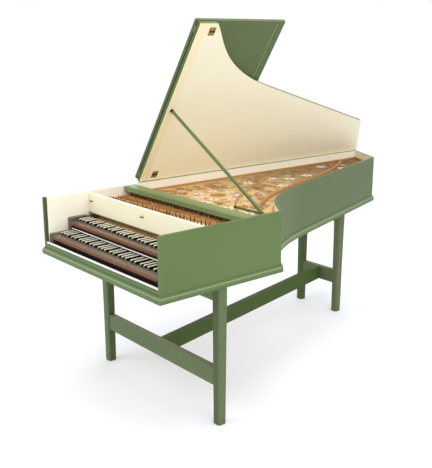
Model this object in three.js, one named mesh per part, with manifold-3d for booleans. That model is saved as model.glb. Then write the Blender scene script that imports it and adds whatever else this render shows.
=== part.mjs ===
// A harpsichord with two manuals, on a stand with stretchers, its lid held up by a stick.
// Millimetres. +X runs from the long spine to the cheek, +Y from the player to the tail, +Z up.
import * as THREE from "three";
import { mergeVertices } from "three/addons/utils/BufferGeometryUtils.js";
import Module from "manifold-3d";

const wasm = await Module();
wasm.setup();

// Clearances
const seat = 0.3;
const keyGap = 0.9;
const overrun = 5;

// Case
const caseWidth = 930;
const spineLength = 2272;
const tailWidth = 252;
const tailSetback = 135.5;
const rimHeight = 905;
const wall = 14;
const bottomThickness = 14;
const bentStartLean = THREE.MathUtils.degToRad(49.5);
const bentStartHandleShare = 0.091;
const bentEndHandleShare = 0.272;
const straightStartAcrossShare = 0.4535;
const straightStartAlongShare = 0.3512;
const bentSteps = 20;

// How far the tops of the pieces inside the case lie below its rim
const rimDrops = {
  frontRail: 219,
  lowerKeys: 178.5,
  lowerBlock: 175,
  batten: 164,
  upperKeys: 128,
  upperFrameSide: 120,
  upperBlock: 112,
  nameboard: 10,
  plank: 52,
  register: 57,
  soundboard: 47,
  jack: 25,
  jackRail: 2,
  propPivot: 13,
};

// Places along the case, one behind the other
const nameboardFront = 240;
const plankBack = 455;
const registerGap = 9;
const registerSpacing = 16;
const actionGap = 50;
const cheekBehindBellyRail = 148;
const flapBehindBellyRail = 44;
const bracketBehindBellyRail = 41;

// Base moulding round the foot of the case
const mouldingReach = 10.5;
const mouldingFascia = 21;
const mouldingHeight = 31;
const mouldingTopReach = 2;

// Front rail and its cap
const frontCapThickness = 4;
const frontCapDepth = 11;

// Keys, the same on both manuals
const lowestNote = 29;
const keyCount = 61;
const naturalCount = 36;
const keyboardMargin = 45.6;
const headLength = 31;
const coverThickness = 4;
const leverThickness = 10;
const sharpRise = 11.5;
const sharpWidthShare = 0.43;
const sharpFrontSlope = 6;
const keyDip = 8;
const gangBarDepth = 10;
const gangBarRise = 3;
const singleKeys = ["c", "c_sharp", "d"];
const firstSingleKey = 31;

// Where each manual lies: its top is the natural covers' top
const lowerManual = {
  name: "lower",
  top: rimHeight - rimDrops.lowerKeys,
  front: 20,
  coverBack: 121,
  balance: 262,
  back: 500,
};
const upperManual = {
  name: "upper",
  top: rimHeight - rimDrops.upperKeys,
  front: 119,
  coverBack: 216,
  balance: 300,
  back: 472,
};

// Key frames
const lowerBlockHeight = 82.7;
const frameInset = 2.6;
const balanceRailDepth = 12;
const frontKeyRailDepth = 26;
const frontKeyRailSetback = 18;
const backKeyRailDepth = 16;
const backKeyRailSetback = 8;
const blockBevel = 5;
const battenFront = 122;
const battenDepth = 10;
const upperBlockBack = 216;
const upperFrontRound = 8;
const upperBlockFrontSetback = 2;

// Nameboard, wrest plank and belly rail
const nameboardThickness = 16;
const nameboardHeight = 98;
const plankThickness = 52;
const bellyRailThickness = 20;
const bellyRailDepth = 60;

// Soundboard, liners, bridges and nuts
const soundboardThickness = 4;
const linerWidth = 16;
const linerDepth = 40;
const trimWidth = 9;
const trimHeight = 9;
const bridge8 = { width: 13, height: 14 };
const bridge4 = { width: 9, height: 9 };
const nut8 = { width: 12, height: 13 };
const nut4 = { width: 9, height: 11 };
const bridgeSteps = 16;
const bridge8Shares = [[0.028, 0.876], [0.12, 0.825], [0.32, 0.62], [0.52, 0.325], [0.724, 0.145], [0.955, 0.034]];
const bridge4Shares = [[0.028, 0.542], [0.12, 0.49], [0.32, 0.312], [0.52, 0.163], [0.724, 0.069], [0.955, 0.015]];
const nut8Shares = [[0.045, 0.48], [0.4, 0.58], [0.955, 0.745]];
const nut4Shares = [[0.045, 0.86], [0.4, 0.885], [0.955, 0.93]];

// Registers with their jacks, and the stop levers that shift them
const registerNames = ["front_8ft", "octave_4ft", "back_8ft"];
const registerWidth = 14;
const registerThickness = 12;
const registerEndGap = 4;
const jackThickness = 4;
const jackDepth = 10;
const leverWidth = 8;
const leverPlate = 3;
const leverRise = 3.5;
const leverPivotY = 405;
const leverPivotRadius = 4;
const leverTabDepth = 6;
const knobRadius = 5.5;
const knobCentreY = 232;
const knobRise = 3;
const slotSideRoom = 8;
const slotRoom = 1.2;
const endLeverX = 44;

// Jack rail
const jackRailOverlap = 8;
const jackRailDepth = 66;
const jackRailThickness = 13;
const jackRailLip = 4;
const jackRailLipDepth = 23;

// Lid and its front flap
const lidOpenAngle = THREE.MathUtils.degToRad(56.9);
const lidThickness = 19;
const flapThickness = 18;
const hingeKnuckle = 3.5;

// Strap hinges between spine and lid
const spineHingeWidth = 60;
const frontHingeGap = 19;
const rearHingeSetback = 318;
const leafThickness = 2;
const caseLeafDepth = 40;
const lidLeafReach = 50;
const knuckleCount = 3;

// Hinges between lid and flap, bolted through to plates on the lid's inside
const flapHingeInset = 40;
const flapHingeWidth = 30;
const flapKnuckle = 2.6;
const flapHingeRise = 3;
const flapStrapLength = 106;
const flapLeafLength = 48;
const bossPlate = { width: 40, length: 34, thickness: 2.2 };
const bossPlateSetback = 83;
const boltRadius = 3;
const boltSpacing = 16;

// Sticks that hold the lid up
const propRaised = THREE.MathUtils.degToRad(31.4);
const propPivotInset = 33;
const propPivotSetback = 33;
const propTipGap = 1.3;
const propWidth = 11;
const propPegRadius = 4;
const propPegLength = 6;
const propBall = 3.5;
const propNeckRadius = 1.8;
const shortPropWidth = 9;
const shortPropLength = 206;
const shortPropSetback = 46;
const shortPropPin = 2;
const bracketThickness = 4.7;
const bracketDrop = 17;
const bracketLength = 56;
const bracketArm = 4;
const socketRadius = 9;
const socketHoleRadius = 5.5;
const socketDepth = 10;
const socketRingThickness = 2.8;
const socketProud = 0.8;

// Stand
const frontLegY = 324;
const frontLegInset = 28;
const rearLegSetback = 502;
const rearLegSpineX = 14;
const rearLegBentsideInset = 64;
const legTop = 49;
const legFoot = 42;
const legChamfer = 6;
const railThickness = 28;
const railDepth = 71;
const stretcherBottom = 177;
const stretcherTop = 257;
const stretcherThickness = 30;
const longStretcherDrop = 2;

// Colours and surfaces
const greenPaint = new THREE.MeshStandardMaterial({ color: 0x7c8e67, roughness: 0.5, metalness: 0 });
const creamPaint = new THREE.MeshStandardMaterial({ color: 0xefe0c0, roughness: 0.5, metalness: 0 });
const soundboardWood = new THREE.MeshStandardMaterial({ color: 0xd4ae74, roughness: 0.6, metalness: 0 });
const plainWood = new THREE.MeshStandardMaterial({ color: 0xb98a55, roughness: 0.7, metalness: 0 });
const ebony = new THREE.MeshStandardMaterial({ color: 0x1c1a19, roughness: 0.35, metalness: 0 });
const brass = new THREE.MeshStandardMaterial({ color: 0xa98a4c, roughness: 0.35, metalness: 1 });

// Sizes that follow from the ones above
const tailCornerY = spineLength - tailSetback;
const frontRailTop = rimHeight - rimDrops.frontRail;
const lowerBlockTop = rimHeight - rimDrops.lowerBlock;
const bottomTop = lowerBlockTop - lowerBlockHeight - seat;
const caseBottom = bottomTop - bottomThickness;
const battenTop = rimHeight - rimDrops.batten;
const upperFrameSideTop = rimHeight - rimDrops.upperFrameSide;
const upperBlockTop = rimHeight - rimDrops.upperBlock;
const nameboardTop = rimHeight - rimDrops.nameboard;
const nameboardBottom = nameboardTop - nameboardHeight;
const plankTop = rimHeight - rimDrops.plank;
const registerTop = rimHeight - rimDrops.register;
const soundboardTop = rimHeight - rimDrops.soundboard;
const jackTop = rimHeight - rimDrops.jack;
const jackRailTop = rimHeight - rimDrops.jackRail;
const jackRailFront = plankBack - jackRailOverlap;
const jackRailBack = jackRailFront + jackRailDepth;
const bellyRailFront = plankBack + actionGap;
const cheekLength = bellyRailFront + cheekBehindBellyRail;
const flapLength = bellyRailFront + flapBehindBellyRail;
const bracketFront = bellyRailFront + bracketBehindBellyRail;
const shortPropY = bracketFront + shortPropSetback;
const propPivot = {
  x: caseWidth - propPivotInset,
  y: bracketFront + propPivotSetback,
  z: rimHeight - rimDrops.propPivot,
};
const innerWidth = caseWidth - 2 * wall;
const innerLeft = wall + seat;
const innerRight = caseWidth - wall - seat;
const keyboardLeft = keyboardMargin;
const keyboardWidth = caseWidth - 2 * keyboardMargin;
const keyPitch = keyboardWidth / keyCount;
const naturalPitch = keyboardWidth / naturalCount;
const sharpWidth = sharpWidthShare * naturalPitch;
const leverZ = plankTop + leverRise;
const lidHinge = { x: -hingeKnuckle - seat, z: rimHeight + seat / 2 };
const lidBottom = rimHeight + seat;
const lidTop = lidBottom + lidThickness;
const rearLegY = spineLength - rearLegSetback;
const bossPlateY = flapLength + bossPlateSetback;
const flapHingeXs = [flapHingeInset, caseWidth - flapHingeInset];
const spineHingeYs = [
  flapLength + flapStrapLength + frontHingeGap + spineHingeWidth / 2,
  spineLength - rearHingeSetback,
];

// Turns a closed geometry into a solid that can be joined and cut.
function solidOf(geometry) {
  const bare = geometry.clone();
  bare.deleteAttribute("normal");
  bare.deleteAttribute("uv");
  const merged = mergeVertices(bare);
  const vertProperties = new Float32Array(merged.attributes.position.array);
  const triVerts = new Uint32Array(merged.index.array);
  return new wasm.Manifold(new wasm.Mesh({ numProp: 3, vertProperties, triVerts }));
}

function geometryOf(solid) {
  const mesh = solid.getMesh();
  const indexed = new THREE.BufferGeometry();
  indexed.setAttribute("position", new THREE.BufferAttribute(mesh.vertProperties, mesh.numProp));
  indexed.setIndex(new THREE.BufferAttribute(mesh.triVerts, 1));
  const flat = indexed.toNonIndexed();
  flat.computeVertexNormals();
  return flat;
}

function block(x0, x1, y0, y1, z0, z1) {
  const box = new THREE.BoxGeometry(x1 - x0, y1 - y0, z1 - z0);
  return box.translate((x0 + x1) / 2, (y0 + y1) / 2, (z0 + z1) / 2);
}

// Drops points that lie on their neighbours or on a straight line between them.
function cleanOutline(points) {
  const distinct = points.filter((p, i) => p.distanceTo(points[(i + 1) % points.length]) > 1e-6);
  return distinct.filter((p, i) => {
    const before = distinct[(i + distinct.length - 1) % distinct.length];
    const after = distinct[(i + 1) % distinct.length];
    return Math.abs(p.clone().sub(before).cross(after.clone().sub(p))) > 1e-6;
  });
}

function point(x, y) {
  return new THREE.Vector2(x, y);
}

// A plate of a plan outline between two heights.
function plate(outline, z0, z1) {
  const shape = new THREE.Shape(cleanOutline(outline));
  const geometry = new THREE.ExtrudeGeometry(shape, { depth: z1 - z0, bevelEnabled: false, curveSegments: 12 });
  return geometry.translate(0, 0, z0);
}

// A bar whose section is drawn in Y and Z, running along X.
function barAlongX(section, x0, x1) {
  const shape = new THREE.Shape(cleanOutline(section));
  const geometry = new THREE.ExtrudeGeometry(shape, { depth: x1 - x0, bevelEnabled: false, curveSegments: 12 });
  geometry.rotateZ(Math.PI / 2).rotateY(Math.PI / 2);
  return geometry.translate(x0, 0, 0);
}

function rod(radius, from, to, sides = 16) {
  const start = new THREE.Vector3(...from);
  const along = new THREE.Vector3(...to).sub(start);
  const geometry = new THREE.CylinderGeometry(radius, radius, along.length(), sides);
  const turn = new THREE.Quaternion().setFromUnitVectors(new THREE.Vector3(0, 1, 0), along.clone().normalize());
  geometry.applyQuaternion(turn);
  const middle = start.addScaledVector(along, 1 / 2);
  return geometry.translate(middle.x, middle.y, middle.z);
}

function ball(radius, x, y, z) {
  return new THREE.SphereGeometry(radius, 12, 8).translate(x, y, z);
}

// Moves each edge of a closed outline inwards by its own distance and lets the edges meet again.
function insetOutline(outline, distanceOf) {
  const edges = outline.map((start, i) => {
    const end = outline[(i + 1) % outline.length];
    const along = end.clone().sub(start).normalize();
    const inwards = point(-along.y, along.x);
    return { start: start.clone().addScaledVector(inwards, distanceOf(i)), along };
  });
  return edges.map((edge, i) => {
    const last = edges[(i + edges.length - 1) % edges.length];
    const between = edge.start.clone().sub(last.start);
    const share = between.cross(edge.along) / last.along.cross(edge.along);
    return last.start.clone().addScaledVector(last.along, share);
  });
}

// The bentside leaves the cheek in a curve and then runs straight to the tail.
function bentsidePoints() {
  const run = tailCornerY - cheekLength;
  const start = point(caseWidth, cheekLength);
  const tail = point(tailWidth, tailCornerY);
  const straight = point(
    tailWidth + straightStartAcrossShare * (caseWidth - tailWidth),
    cheekLength + straightStartAlongShare * run,
  );
  const along = straight.clone().sub(tail).normalize();
  const lean = point(-Math.sin(bentStartLean), Math.cos(bentStartLean));
  const curve = new THREE.CubicBezierCurve(
    start,
    start.clone().addScaledVector(lean, bentStartHandleShare * run),
    straight.clone().addScaledVector(along, bentEndHandleShare * run),
    straight,
  );
  return [...curve.getPoints(bentSteps), tail];
}

// The case's plan, anticlockwise from the front left corner.
const bentside = bentsidePoints();
const casePlan = [point(0, 0), point(caseWidth, 0), ...bentside, point(0, spineLength)];
const firstBentEdge = casePlan.indexOf(bentside[0]);
const tailEdge = casePlan.indexOf(bentside[bentside.length - 1]);
const spineEdge = tailEdge + 1;

function insetPlan(distance, frontDistance = distance) {
  return insetOutline(casePlan, (i) => (i === 0 ? frontDistance : distance));
}

// One side of the case, mitred to its neighbours with a small gap.
function wallPlan(firstEdge, lastEdge) {
  const inner = insetPlan(wall, 0);
  const last = (lastEdge + 1) % casePlan.length;
  const outerRun = [...casePlan.slice(firstEdge, lastEdge + 1), casePlan[last]];
  const innerRun = [...inner.slice(firstEdge, lastEdge + 1), inner[last]].reverse();
  const plan = [...outerRun, ...innerRun];
  const endEdges = [outerRun.length - 1, plan.length - 1];
  return insetOutline(plan, (i) => (endEdges.includes(i) ? seat / 2 : 0));
}

// The glued liner under the soundboard belongs to the wall that it is glued to.
function linedWall(firstEdge, lastEdge) {
  const wallSolid = solidOf(plate(wallPlan(firstEdge, lastEdge), caseBottom, rimHeight));
  const linerTop = soundboardTop - soundboardThickness - seat;
  const outer = insetPlan(wall - seat, 0);
  const inner = insetPlan(wall + linerWidth, 0);
  const last = (lastEdge + 1) % casePlan.length;
  const outerRun = [...outer.slice(firstEdge, lastEdge + 1), outer[last]];
  const innerRun = [...inner.slice(firstEdge, lastEdge + 1), inner[last]].reverse();
  const plan = [...outerRun, ...innerRun];
  const endEdges = [outerRun.length - 1, plan.length - 1];
  const mitred = insetOutline(plan, (i) => (endEdges.includes(i) ? seat / 2 : 0));
  const liner = solidOf(plate(mitred, linerTop - linerDepth, linerTop));
  const room = bellyRailFront + bellyRailThickness + seat;
  const ahead = solidOf(block(0, caseWidth - overrun, 0, room, linerTop - linerDepth - overrun, linerTop + overrun));
  return geometryOf(wallSolid.add(liner.subtract(ahead)));
}

// A strip round the foot of the case: a flat fascia with a sloping top.
function baseMoulding() {
  const top = caseBottom + mouldingHeight;
  const profile = [
    [seat, caseBottom],
    [mouldingReach, caseBottom],
    [mouldingReach, caseBottom + mouldingFascia],
    [mouldingTopReach, top],
    [seat, top],
  ];
  const rings = profile.map(([reach]) => insetOutline(casePlan, () => -reach));
  const positions = [];
  const corner = (k, i) => {
    const p = rings[k % profile.length][i % casePlan.length];
    return [p.x, p.y, profile[k % profile.length][1]];
  };
  for (let k = 0; k < profile.length; k += 1) {
    for (let i = 0; i < casePlan.length; i += 1) {
      positions.push(...corner(k, i), ...corner(k, i + 1), ...corner(k + 1, i + 1));
      positions.push(...corner(k, i), ...corner(k + 1, i + 1), ...corner(k + 1, i));
    }
  }
  const geometry = new THREE.BufferGeometry();
  geometry.setAttribute("position", new THREE.Float32BufferAttribute(positions, 3));
  geometry.computeVertexNormals();
  return geometry;
}

// The soundboard's plan stops at the belly rail.
function soundboardPlan(distance) {
  return insetOutline(casePlan, (i) => (i === 0 ? bellyRailFront : distance));
}

function soundboardTrim() {
  const outer = insetOutline(casePlan, (i) => (i === 0 ? bellyRailFront : wall + seat));
  const inner = insetOutline(casePlan, (i) => (i === 0 ? bellyRailFront : wall + seat + trimWidth));
  const plan = [...outer.slice(1), outer[0], inner[0], ...inner.slice(1).reverse()];
  return plate(plan, soundboardTop + seat, soundboardTop + seat + trimHeight);
}

// A bar of even width along a smooth line in plan.
function curvedBar(places, size, z0) {
  const line = new THREE.SplineCurve(places).getPoints(bridgeSteps);
  const side = (reach) => line.map((p, i) => {
    const before = line[Math.max(i - 1, 0)];
    const after = line[Math.min(i + 1, line.length - 1)];
    const along = after.clone().sub(before).normalize();
    return point(p.x - along.y * reach, p.y + along.x * reach);
  });
  const plan = [...side(-size.width / 2), ...side(size.width / 2).reverse()];
  return plate(plan, z0, z0 + size.height);
}

function onSoundboard([across, down]) {
  const length = spineLength - bellyRailFront;
  return point(innerLeft + across * (innerWidth - 2 * seat), bellyRailFront + down * length);
}

function onPlank([across, down]) {
  const start = nameboardFront + nameboardThickness;
  return point(innerLeft + across * (innerWidth - 2 * seat), start + down * (plankBack - start));
}

// The middle stop lever passes under both nuts through a small notch.
function notchedNut(shares, size) {
  const bar = solidOf(curvedBar(shares.map(onPlank), size, plankTop + seat));
  const side = leverWidth / 2 + slotSideRoom;
  const x = middleLeverX();
  const top = leverZ + leverPlate + slotRoom;
  const notch = block(x - side, x + side, nameboardFront, plankBack, plankTop - overrun, top);
  return geometryOf(bar.subtract(solidOf(notch)));
}

function middleLeverX() {
  return keyboardLeft + firstSingleKey * keyPitch;
}

function leverXs() {
  return { back_8ft: endLeverX, front_8ft: middleLeverX(), octave_4ft: caseWidth - endLeverX };
}

function nameboard() {
  let board = solidOf(block(
    innerLeft, innerRight,
    nameboardFront, nameboardFront + nameboardThickness,
    nameboardBottom, nameboardTop,
  ));
  const side = leverWidth / 2 + slotSideRoom;
  for (const x of Object.values(leverXs())) {
    const slot = block(
      x - side, x + side,
      nameboardFront - overrun, nameboardFront + nameboardThickness + overrun,
      leverZ - slotRoom, leverZ + leverPlate + slotRoom,
    );
    board = board.subtract(solidOf(slot));
  }
  return geometryOf(board);
}

function register(centreY) {
  let bar = solidOf(block(
    wall + registerEndGap, caseWidth - wall - registerEndGap,
    centreY - registerWidth / 2, centreY + registerWidth / 2,
    registerTop - registerThickness, registerTop,
  ));
  for (let note = 0; note < keyCount; note += 1) {
    const x = keyboardLeft + (note + 1 / 2) * keyPitch;
    bar = bar.add(solidOf(block(
      x - jackThickness / 2, x + jackThickness / 2,
      centreY - jackDepth / 2, centreY + jackDepth / 2,
      registerTop - registerThickness / 2, jackTop,
    )));
  }
  return geometryOf(bar);
}

// A flat lever on a pin, with a knob before the nameboard and a tab over its register.
function stopLever(x, registerY) {
  const tabEnd = registerY + leverTabDepth / 2;
  const bar = block(x - leverWidth / 2, x + leverWidth / 2, knobCentreY, tabEnd, leverZ, leverZ + leverPlate);
  const tab = block(
    x - leverTabDepth / 2, x + leverTabDepth / 2,
    registerY - leverTabDepth / 2, tabEnd,
    registerTop + seat, leverZ + leverPlate / 2,
  );
  const pin = rod(leverPivotRadius, [x, leverPivotY, plankTop + seat], [x, leverPivotY, leverZ + leverPlate / 2]);
  const knob = ball(knobRadius, x, knobCentreY, leverZ + leverPlate / 2 + knobRise);
  return geometryOf(solidOf(bar).add(solidOf(tab)).add(solidOf(pin)).add(solidOf(knob)));
}

function jackRail() {
  const lipBottom = jackRailTop - jackRailLipDepth;
  const plankBottom = jackRailTop - jackRailThickness;
  const section = [
    point(jackRailFront, lipBottom),
    point(jackRailFront + jackRailLip, lipBottom),
    point(jackRailFront + jackRailLip, plankBottom),
    point(jackRailBack - jackRailLip, plankBottom),
    point(jackRailBack - jackRailLip, lipBottom),
    point(jackRailBack, lipBottom),
    point(jackRailBack, jackRailTop),
    point(jackRailFront, jackRailTop),
  ];
  return barAlongX(section, innerLeft, innerRight);
}

// Where a note's key lies: its natural head, or none for a sharp, and its narrower tail.
function keyPlace(note) {
  const sharps = [1, 3, 6, 8, 10];
  const degree = (lowestNote + note) % 12;
  let naturals = 0;
  let groupStart = 0;
  for (let before = 0; before <= note; before += 1) {
    const beforeDegree = (lowestNote + before) % 12;
    if (beforeDegree === 0 || beforeDegree === 5) {
      groupStart = naturals;
    }
    if (before < note && !sharps.includes(beforeDegree)) {
      naturals += 1;
    }
  }
  const inLowGroup = degree < 5;
  const slotWidth = inLowGroup ? 3 * naturalPitch / 5 : 4 * naturalPitch / 7;
  const slot = inLowGroup ? degree : degree - 5;
  const tailLeft = keyboardLeft + groupStart * naturalPitch + slot * slotWidth;
  const headLeft = keyboardLeft + naturals * naturalPitch;
  const isLast = note === keyCount - 1;
  return {
    sharp: sharps.includes(degree),
    head: [headLeft + keyGap / 2, headLeft + naturalPitch - keyGap / 2],
    tail: [tailLeft + keyGap / 2, (isLast ? headLeft + naturalPitch : tailLeft + slotWidth) - keyGap / 2],
  };
}

function coverBottom(manual) {
  return manual.top - coverThickness;
}

function leverBottom(manual) {
  return coverBottom(manual) - leverThickness;
}

function naturalKey(manual, { head, tail }) {
  const headBack = manual.front + headLength;
  const plan = [
    point(head[0], manual.front),
    point(head[1], manual.front),
    point(head[1], headBack),
    point(tail[1], headBack),
    point(tail[1], manual.back),
    point(tail[0], manual.back),
    point(tail[0], headBack),
    point(head[0], headBack),
  ];
  const whole = solidOf(plate(plan, leverBottom(manual), manual.top));
  const behindCover = block(
    head[0] - naturalPitch, head[1] + naturalPitch,
    manual.coverBack, manual.back + overrun,
    coverBottom(manual), manual.top + overrun,
  );
  return whole.subtract(solidOf(behindCover));
}

function sharpKey(manual, { tail }) {
  const front = manual.front + headLength + keyGap;
  const lever = block(tail[0], tail[1], front, manual.back, leverBottom(manual), coverBottom(manual));
  const middle = (tail[0] + tail[1]) / 2;
  const section = [
    point(front, coverBottom(manual) - leverThickness / 2),
    point(manual.coverBack, coverBottom(manual) - leverThickness / 2),
    point(manual.coverBack, manual.top + sharpRise),
    point(front + sharpFrontSlope, manual.top + sharpRise),
    point(front, manual.top + sharpRise / 3),
  ];
  const top = barAlongX(section, middle - sharpWidth / 2, middle + sharpWidth / 2);
  return solidOf(lever).add(solidOf(top));
}

function keySolid(manual, note) {
  const place = keyPlace(note);
  return place.sharp ? sharpKey(manual, place) : naturalKey(manual, place);
}

// Neighbouring keys that tip together, held by a bar across their levers.
function keyGang(manual, firstNote, lastNote) {
  const y = manual.balance + balanceRailDepth;
  const bar = block(
    keyPlace(firstNote).tail[0], keyPlace(lastNote).tail[1],
    y, y + gangBarDepth,
    coverBottom(manual) - leverThickness / 2, coverBottom(manual) + gangBarRise,
  );
  let gang = solidOf(bar);
  for (let note = firstNote; note <= lastNote; note += 1) {
    gang = gang.add(keySolid(manual, note));
  }
  return geometryOf(gang);
}

// A key frame: two shaped sides joined by the front, balance and back rails under the keys.
function keyFrame(manual, bottom, sideSection, sideGap) {
  const left = innerLeft + sideGap;
  const right = innerRight - sideGap;
  const keysLeft = keyboardLeft - frameInset;
  const keysRight = keyboardLeft + keyboardWidth + frameInset;
  const railTop = leverBottom(manual) - seat;
  const slope = keyDip / (manual.balance - manual.front);
  const frontY = manual.front + frontKeyRailSetback;
  const frontTop = leverBottom(manual) - slope * (manual.balance - frontY) - 3 * seat;
  const backY = manual.back - backKeyRailSetback - backKeyRailDepth;
  const rail = (y, depth, top) => solidOf(block(left, right, y, y + depth, bottom, top));
  return geometryOf(
    solidOf(barAlongX(sideSection, left, keysLeft))
      .add(solidOf(barAlongX(sideSection, keysRight, right)))
      .add(rail(frontY, frontKeyRailDepth, frontTop))
      .add(rail(manual.balance - balanceRailDepth / 2, balanceRailDepth, railTop))
      .add(rail(backY, backKeyRailDepth, railTop)),
  );
}

function lowerKeyFrame() {
  const bottom = bottomTop + seat;
  const section = [
    point(lowerManual.front, bottom),
    point(lowerManual.back, bottom),
    point(lowerManual.back, battenTop + seat),
    point(battenFront + battenDepth + seat, battenTop + seat),
    point(battenFront + battenDepth + seat, lowerBlockTop),
    point(lowerManual.front + blockBevel, lowerBlockTop),
    point(lowerManual.front, lowerBlockTop - blockBevel),
  ];
  return keyFrame(lowerManual, bottom, section, 0);
}

function upperKeyFrame() {
  const bottom = battenTop + 2 * seat;
  const front = upperManual.front + upperBlockFrontSetback;
  const section = [
    point(front, bottom),
    point(upperManual.back - backKeyRailSetback, bottom),
    point(upperManual.back - backKeyRailSetback, upperFrameSideTop),
    point(upperBlockBack + upperFrontRound, upperFrameSideTop),
    point(upperBlockBack, upperBlockTop),
    point(front + upperFrontRound, upperBlockTop),
    point(front + upperFrontRound / 4, upperBlockTop - upperFrontRound / 4),
    point(front, upperBlockTop - upperFrontRound),
  ];
  return keyFrame(upperManual, bottom, section, seat);
}

// A square post with chamfered corners, thinner at its foot.
function leg(x, y) {
  const ring = (width, z) => {
    const far = width / 2;
    const near = far - legChamfer;
    return [
      [far, near], [near, far], [-near, far], [-far, near],
      [-far, -near], [-near, -far], [near, -far], [far, -near],
    ].map(([dx, dy]) => [x + dx, y + dy, z]);
  };
  const foot = ring(legFoot, 0);
  const top = ring(legTop, caseBottom);
  const positions = [];
  foot.forEach((p, i) => {
    const next = (i + 1) % foot.length;
    positions.push(...p, ...foot[next], ...top[next], ...p, ...top[next], ...top[i]);
    if (i > 0 && next > 0) {
      positions.push(...foot[0], ...foot[next], ...p, ...top[0], ...top[i], ...top[next]);
    }
  });
  const geometry = new THREE.BufferGeometry();
  geometry.setAttribute("position", new THREE.Float32BufferAttribute(positions, 3));
  geometry.computeVertexNormals();
  return geometry;
}

function legWidthAt(z) {
  return legFoot + (legTop - legFoot) * z / caseBottom;
}

// A board between two legs, from the leg's face to the other's.
function crossBoard(legXs, y, bottom, top, thickness) {
  const reach = legWidthAt(top) / 2 + seat;
  return block(legXs[0] + reach, legXs[1] - reach, y - thickness / 2, y + thickness / 2, bottom, top);
}

// Where the bentside's straight run passes a place along the case.
function bentsideX(y) {
  const tail = bentside[bentside.length - 1];
  const start = bentside[bentside.length - 2];
  return THREE.MathUtils.mapLinear(y, start.y, tail.y, start.x, tail.x);
}

// The slanting stretcher runs from the middle of the front cross stretcher to the middle of the rear one.
function longStretcher(frontXs, rearXs) {
  const gap = stretcherThickness / 2 + seat;
  const front = point((frontXs[0] + frontXs[1]) / 2, frontLegY + gap);
  const rear = point((rearXs[0] + rearXs[1]) / 2, rearLegY - gap);
  const along = rear.clone().sub(front).normalize();
  const skew = stretcherThickness / 2 / along.y;
  const plan = [
    point(front.x - skew, front.y),
    point(front.x + skew, front.y),
    point(rear.x + skew, rear.y),
    point(rear.x - skew, rear.y),
  ];
  return plate(plan, stretcherBottom, stretcherTop - longStretcherDrop);
}

// The lid covers the case behind the flap. Drawn shut, then turned about its hinge.
function lid() {
  const front = flapLength + seat;
  const outline = insetOutline(casePlan, (i) => (i === 0 ? front : 0));
  let board = solidOf(plate(outline, lidBottom, lidTop));
  for (const x of flapHingeXs) {
    for (const side of [-1, 1]) {
      const y = bossPlateY + side * boltSpacing / 2;
      board = board.subtract(solidOf(rod(
        boltRadius + seat,
        [x, y, lidBottom - overrun],
        [x, y, lidTop + overrun],
        12,
      )));
    }
  }
  const socket = socketPlace();
  const recess = rod(
    socketRadius + seat,
    [socket.x, socket.y, lidBottom - overrun],
    [socket.x, socket.y, lidBottom + socketRingThickness],
    24,
  );
  const hole = rod(
    socketHoleRadius + seat,
    [socket.x, socket.y, lidBottom - overrun],
    [socket.x, socket.y, lidBottom + socketDepth],
    24,
  );
  return geometryOf(board.subtract(solidOf(recess)).subtract(solidOf(hole)));
}

// The stick reaches from its ball to just short of the open lid's inner face.
function propReach() {
  const x = propPivot.x - lidHinge.x;
  const z = propPivot.z - lidHinge.z;
  const distance = x * Math.sin(lidOpenAngle) - z * Math.cos(lidOpenAngle) + lidBottom - lidHinge.z;
  return (distance - propTipGap) / Math.sin(lidOpenAngle + propRaised);
}

// Where the raised stick meets the lid, in the coordinates of the lid when shut.
function socketPlace() {
  const tipX = propPivot.x - propReach() * Math.cos(propRaised) - lidHinge.x;
  const tipZ = propPivot.z + propReach() * Math.sin(propRaised) - lidHinge.z;
  const along = tipX * Math.cos(lidOpenAngle) + tipZ * Math.sin(lidOpenAngle);
  return { x: lidHinge.x + along, y: propPivot.y };
}

function lidSocketRing() {
  const { x, y } = socketPlace();
  const z0 = lidBottom - socketProud;
  const z1 = lidBottom + socketRingThickness - seat;
  const outer = solidOf(rod(socketRadius, [x, y, z0], [x, y, z1], 24));
  const hole = solidOf(rod(socketHoleRadius, [x, y, z0 - overrun], [x, y, z1 + overrun], 24));
  return geometryOf(outer.subtract(hole));
}

// Knuckles along Y: even ones belong to the fixed leaf and odd ones to the moving leaf.
function knuckles(x, z, y0, width, radius, odd) {
  const length = width / knuckleCount;
  const parts = [];
  for (let k = odd ? 1 : 0; k < knuckleCount; k += 2) {
    const start = y0 + k * length + (k > 0 ? seat / 2 : 0);
    const end = y0 + (k + 1) * length - (k < knuckleCount - 1 ? seat / 2 : 0);
    parts.push(solidOf(rod(radius, [x, start, z], [x, end, z], 16)));
  }
  return parts.reduce((all, next) => all.add(next));
}

function caseHingeLeaf(y) {
  const y0 = y - spineHingeWidth / 2;
  const y1 = y + spineHingeWidth / 2;
  const rimGap = hingeKnuckle - leafThickness;
  const leaf = block(-seat - leafThickness, -seat, y0, y1, rimHeight - caseLeafDepth, rimHeight - rimGap);
  const length = spineHingeWidth / knuckleCount;
  const web = (k) => solidOf(block(
    -seat - leafThickness, -seat,
    y0 + k * length + (k > 0 ? seat / 2 : 0), y0 + (k + 1) * length - (k < knuckleCount - 1 ? seat / 2 : 0),
    rimHeight - 2 * hingeKnuckle, rimHeight,
  ));
  const middle = solidOf(block(
    lidHinge.x - 2 * hingeKnuckle, 0,
    y0 + length - seat / 2, y0 + 2 * length + seat / 2,
    lidHinge.z - hingeKnuckle - seat, lidHinge.z + overrun,
  ));
  const rolled = knuckles(lidHinge.x, lidHinge.z, y0, spineHingeWidth, hingeKnuckle, false);
  return geometryOf(solidOf(leaf).subtract(middle).add(web(0)).add(web(2)).add(rolled));
}

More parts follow.
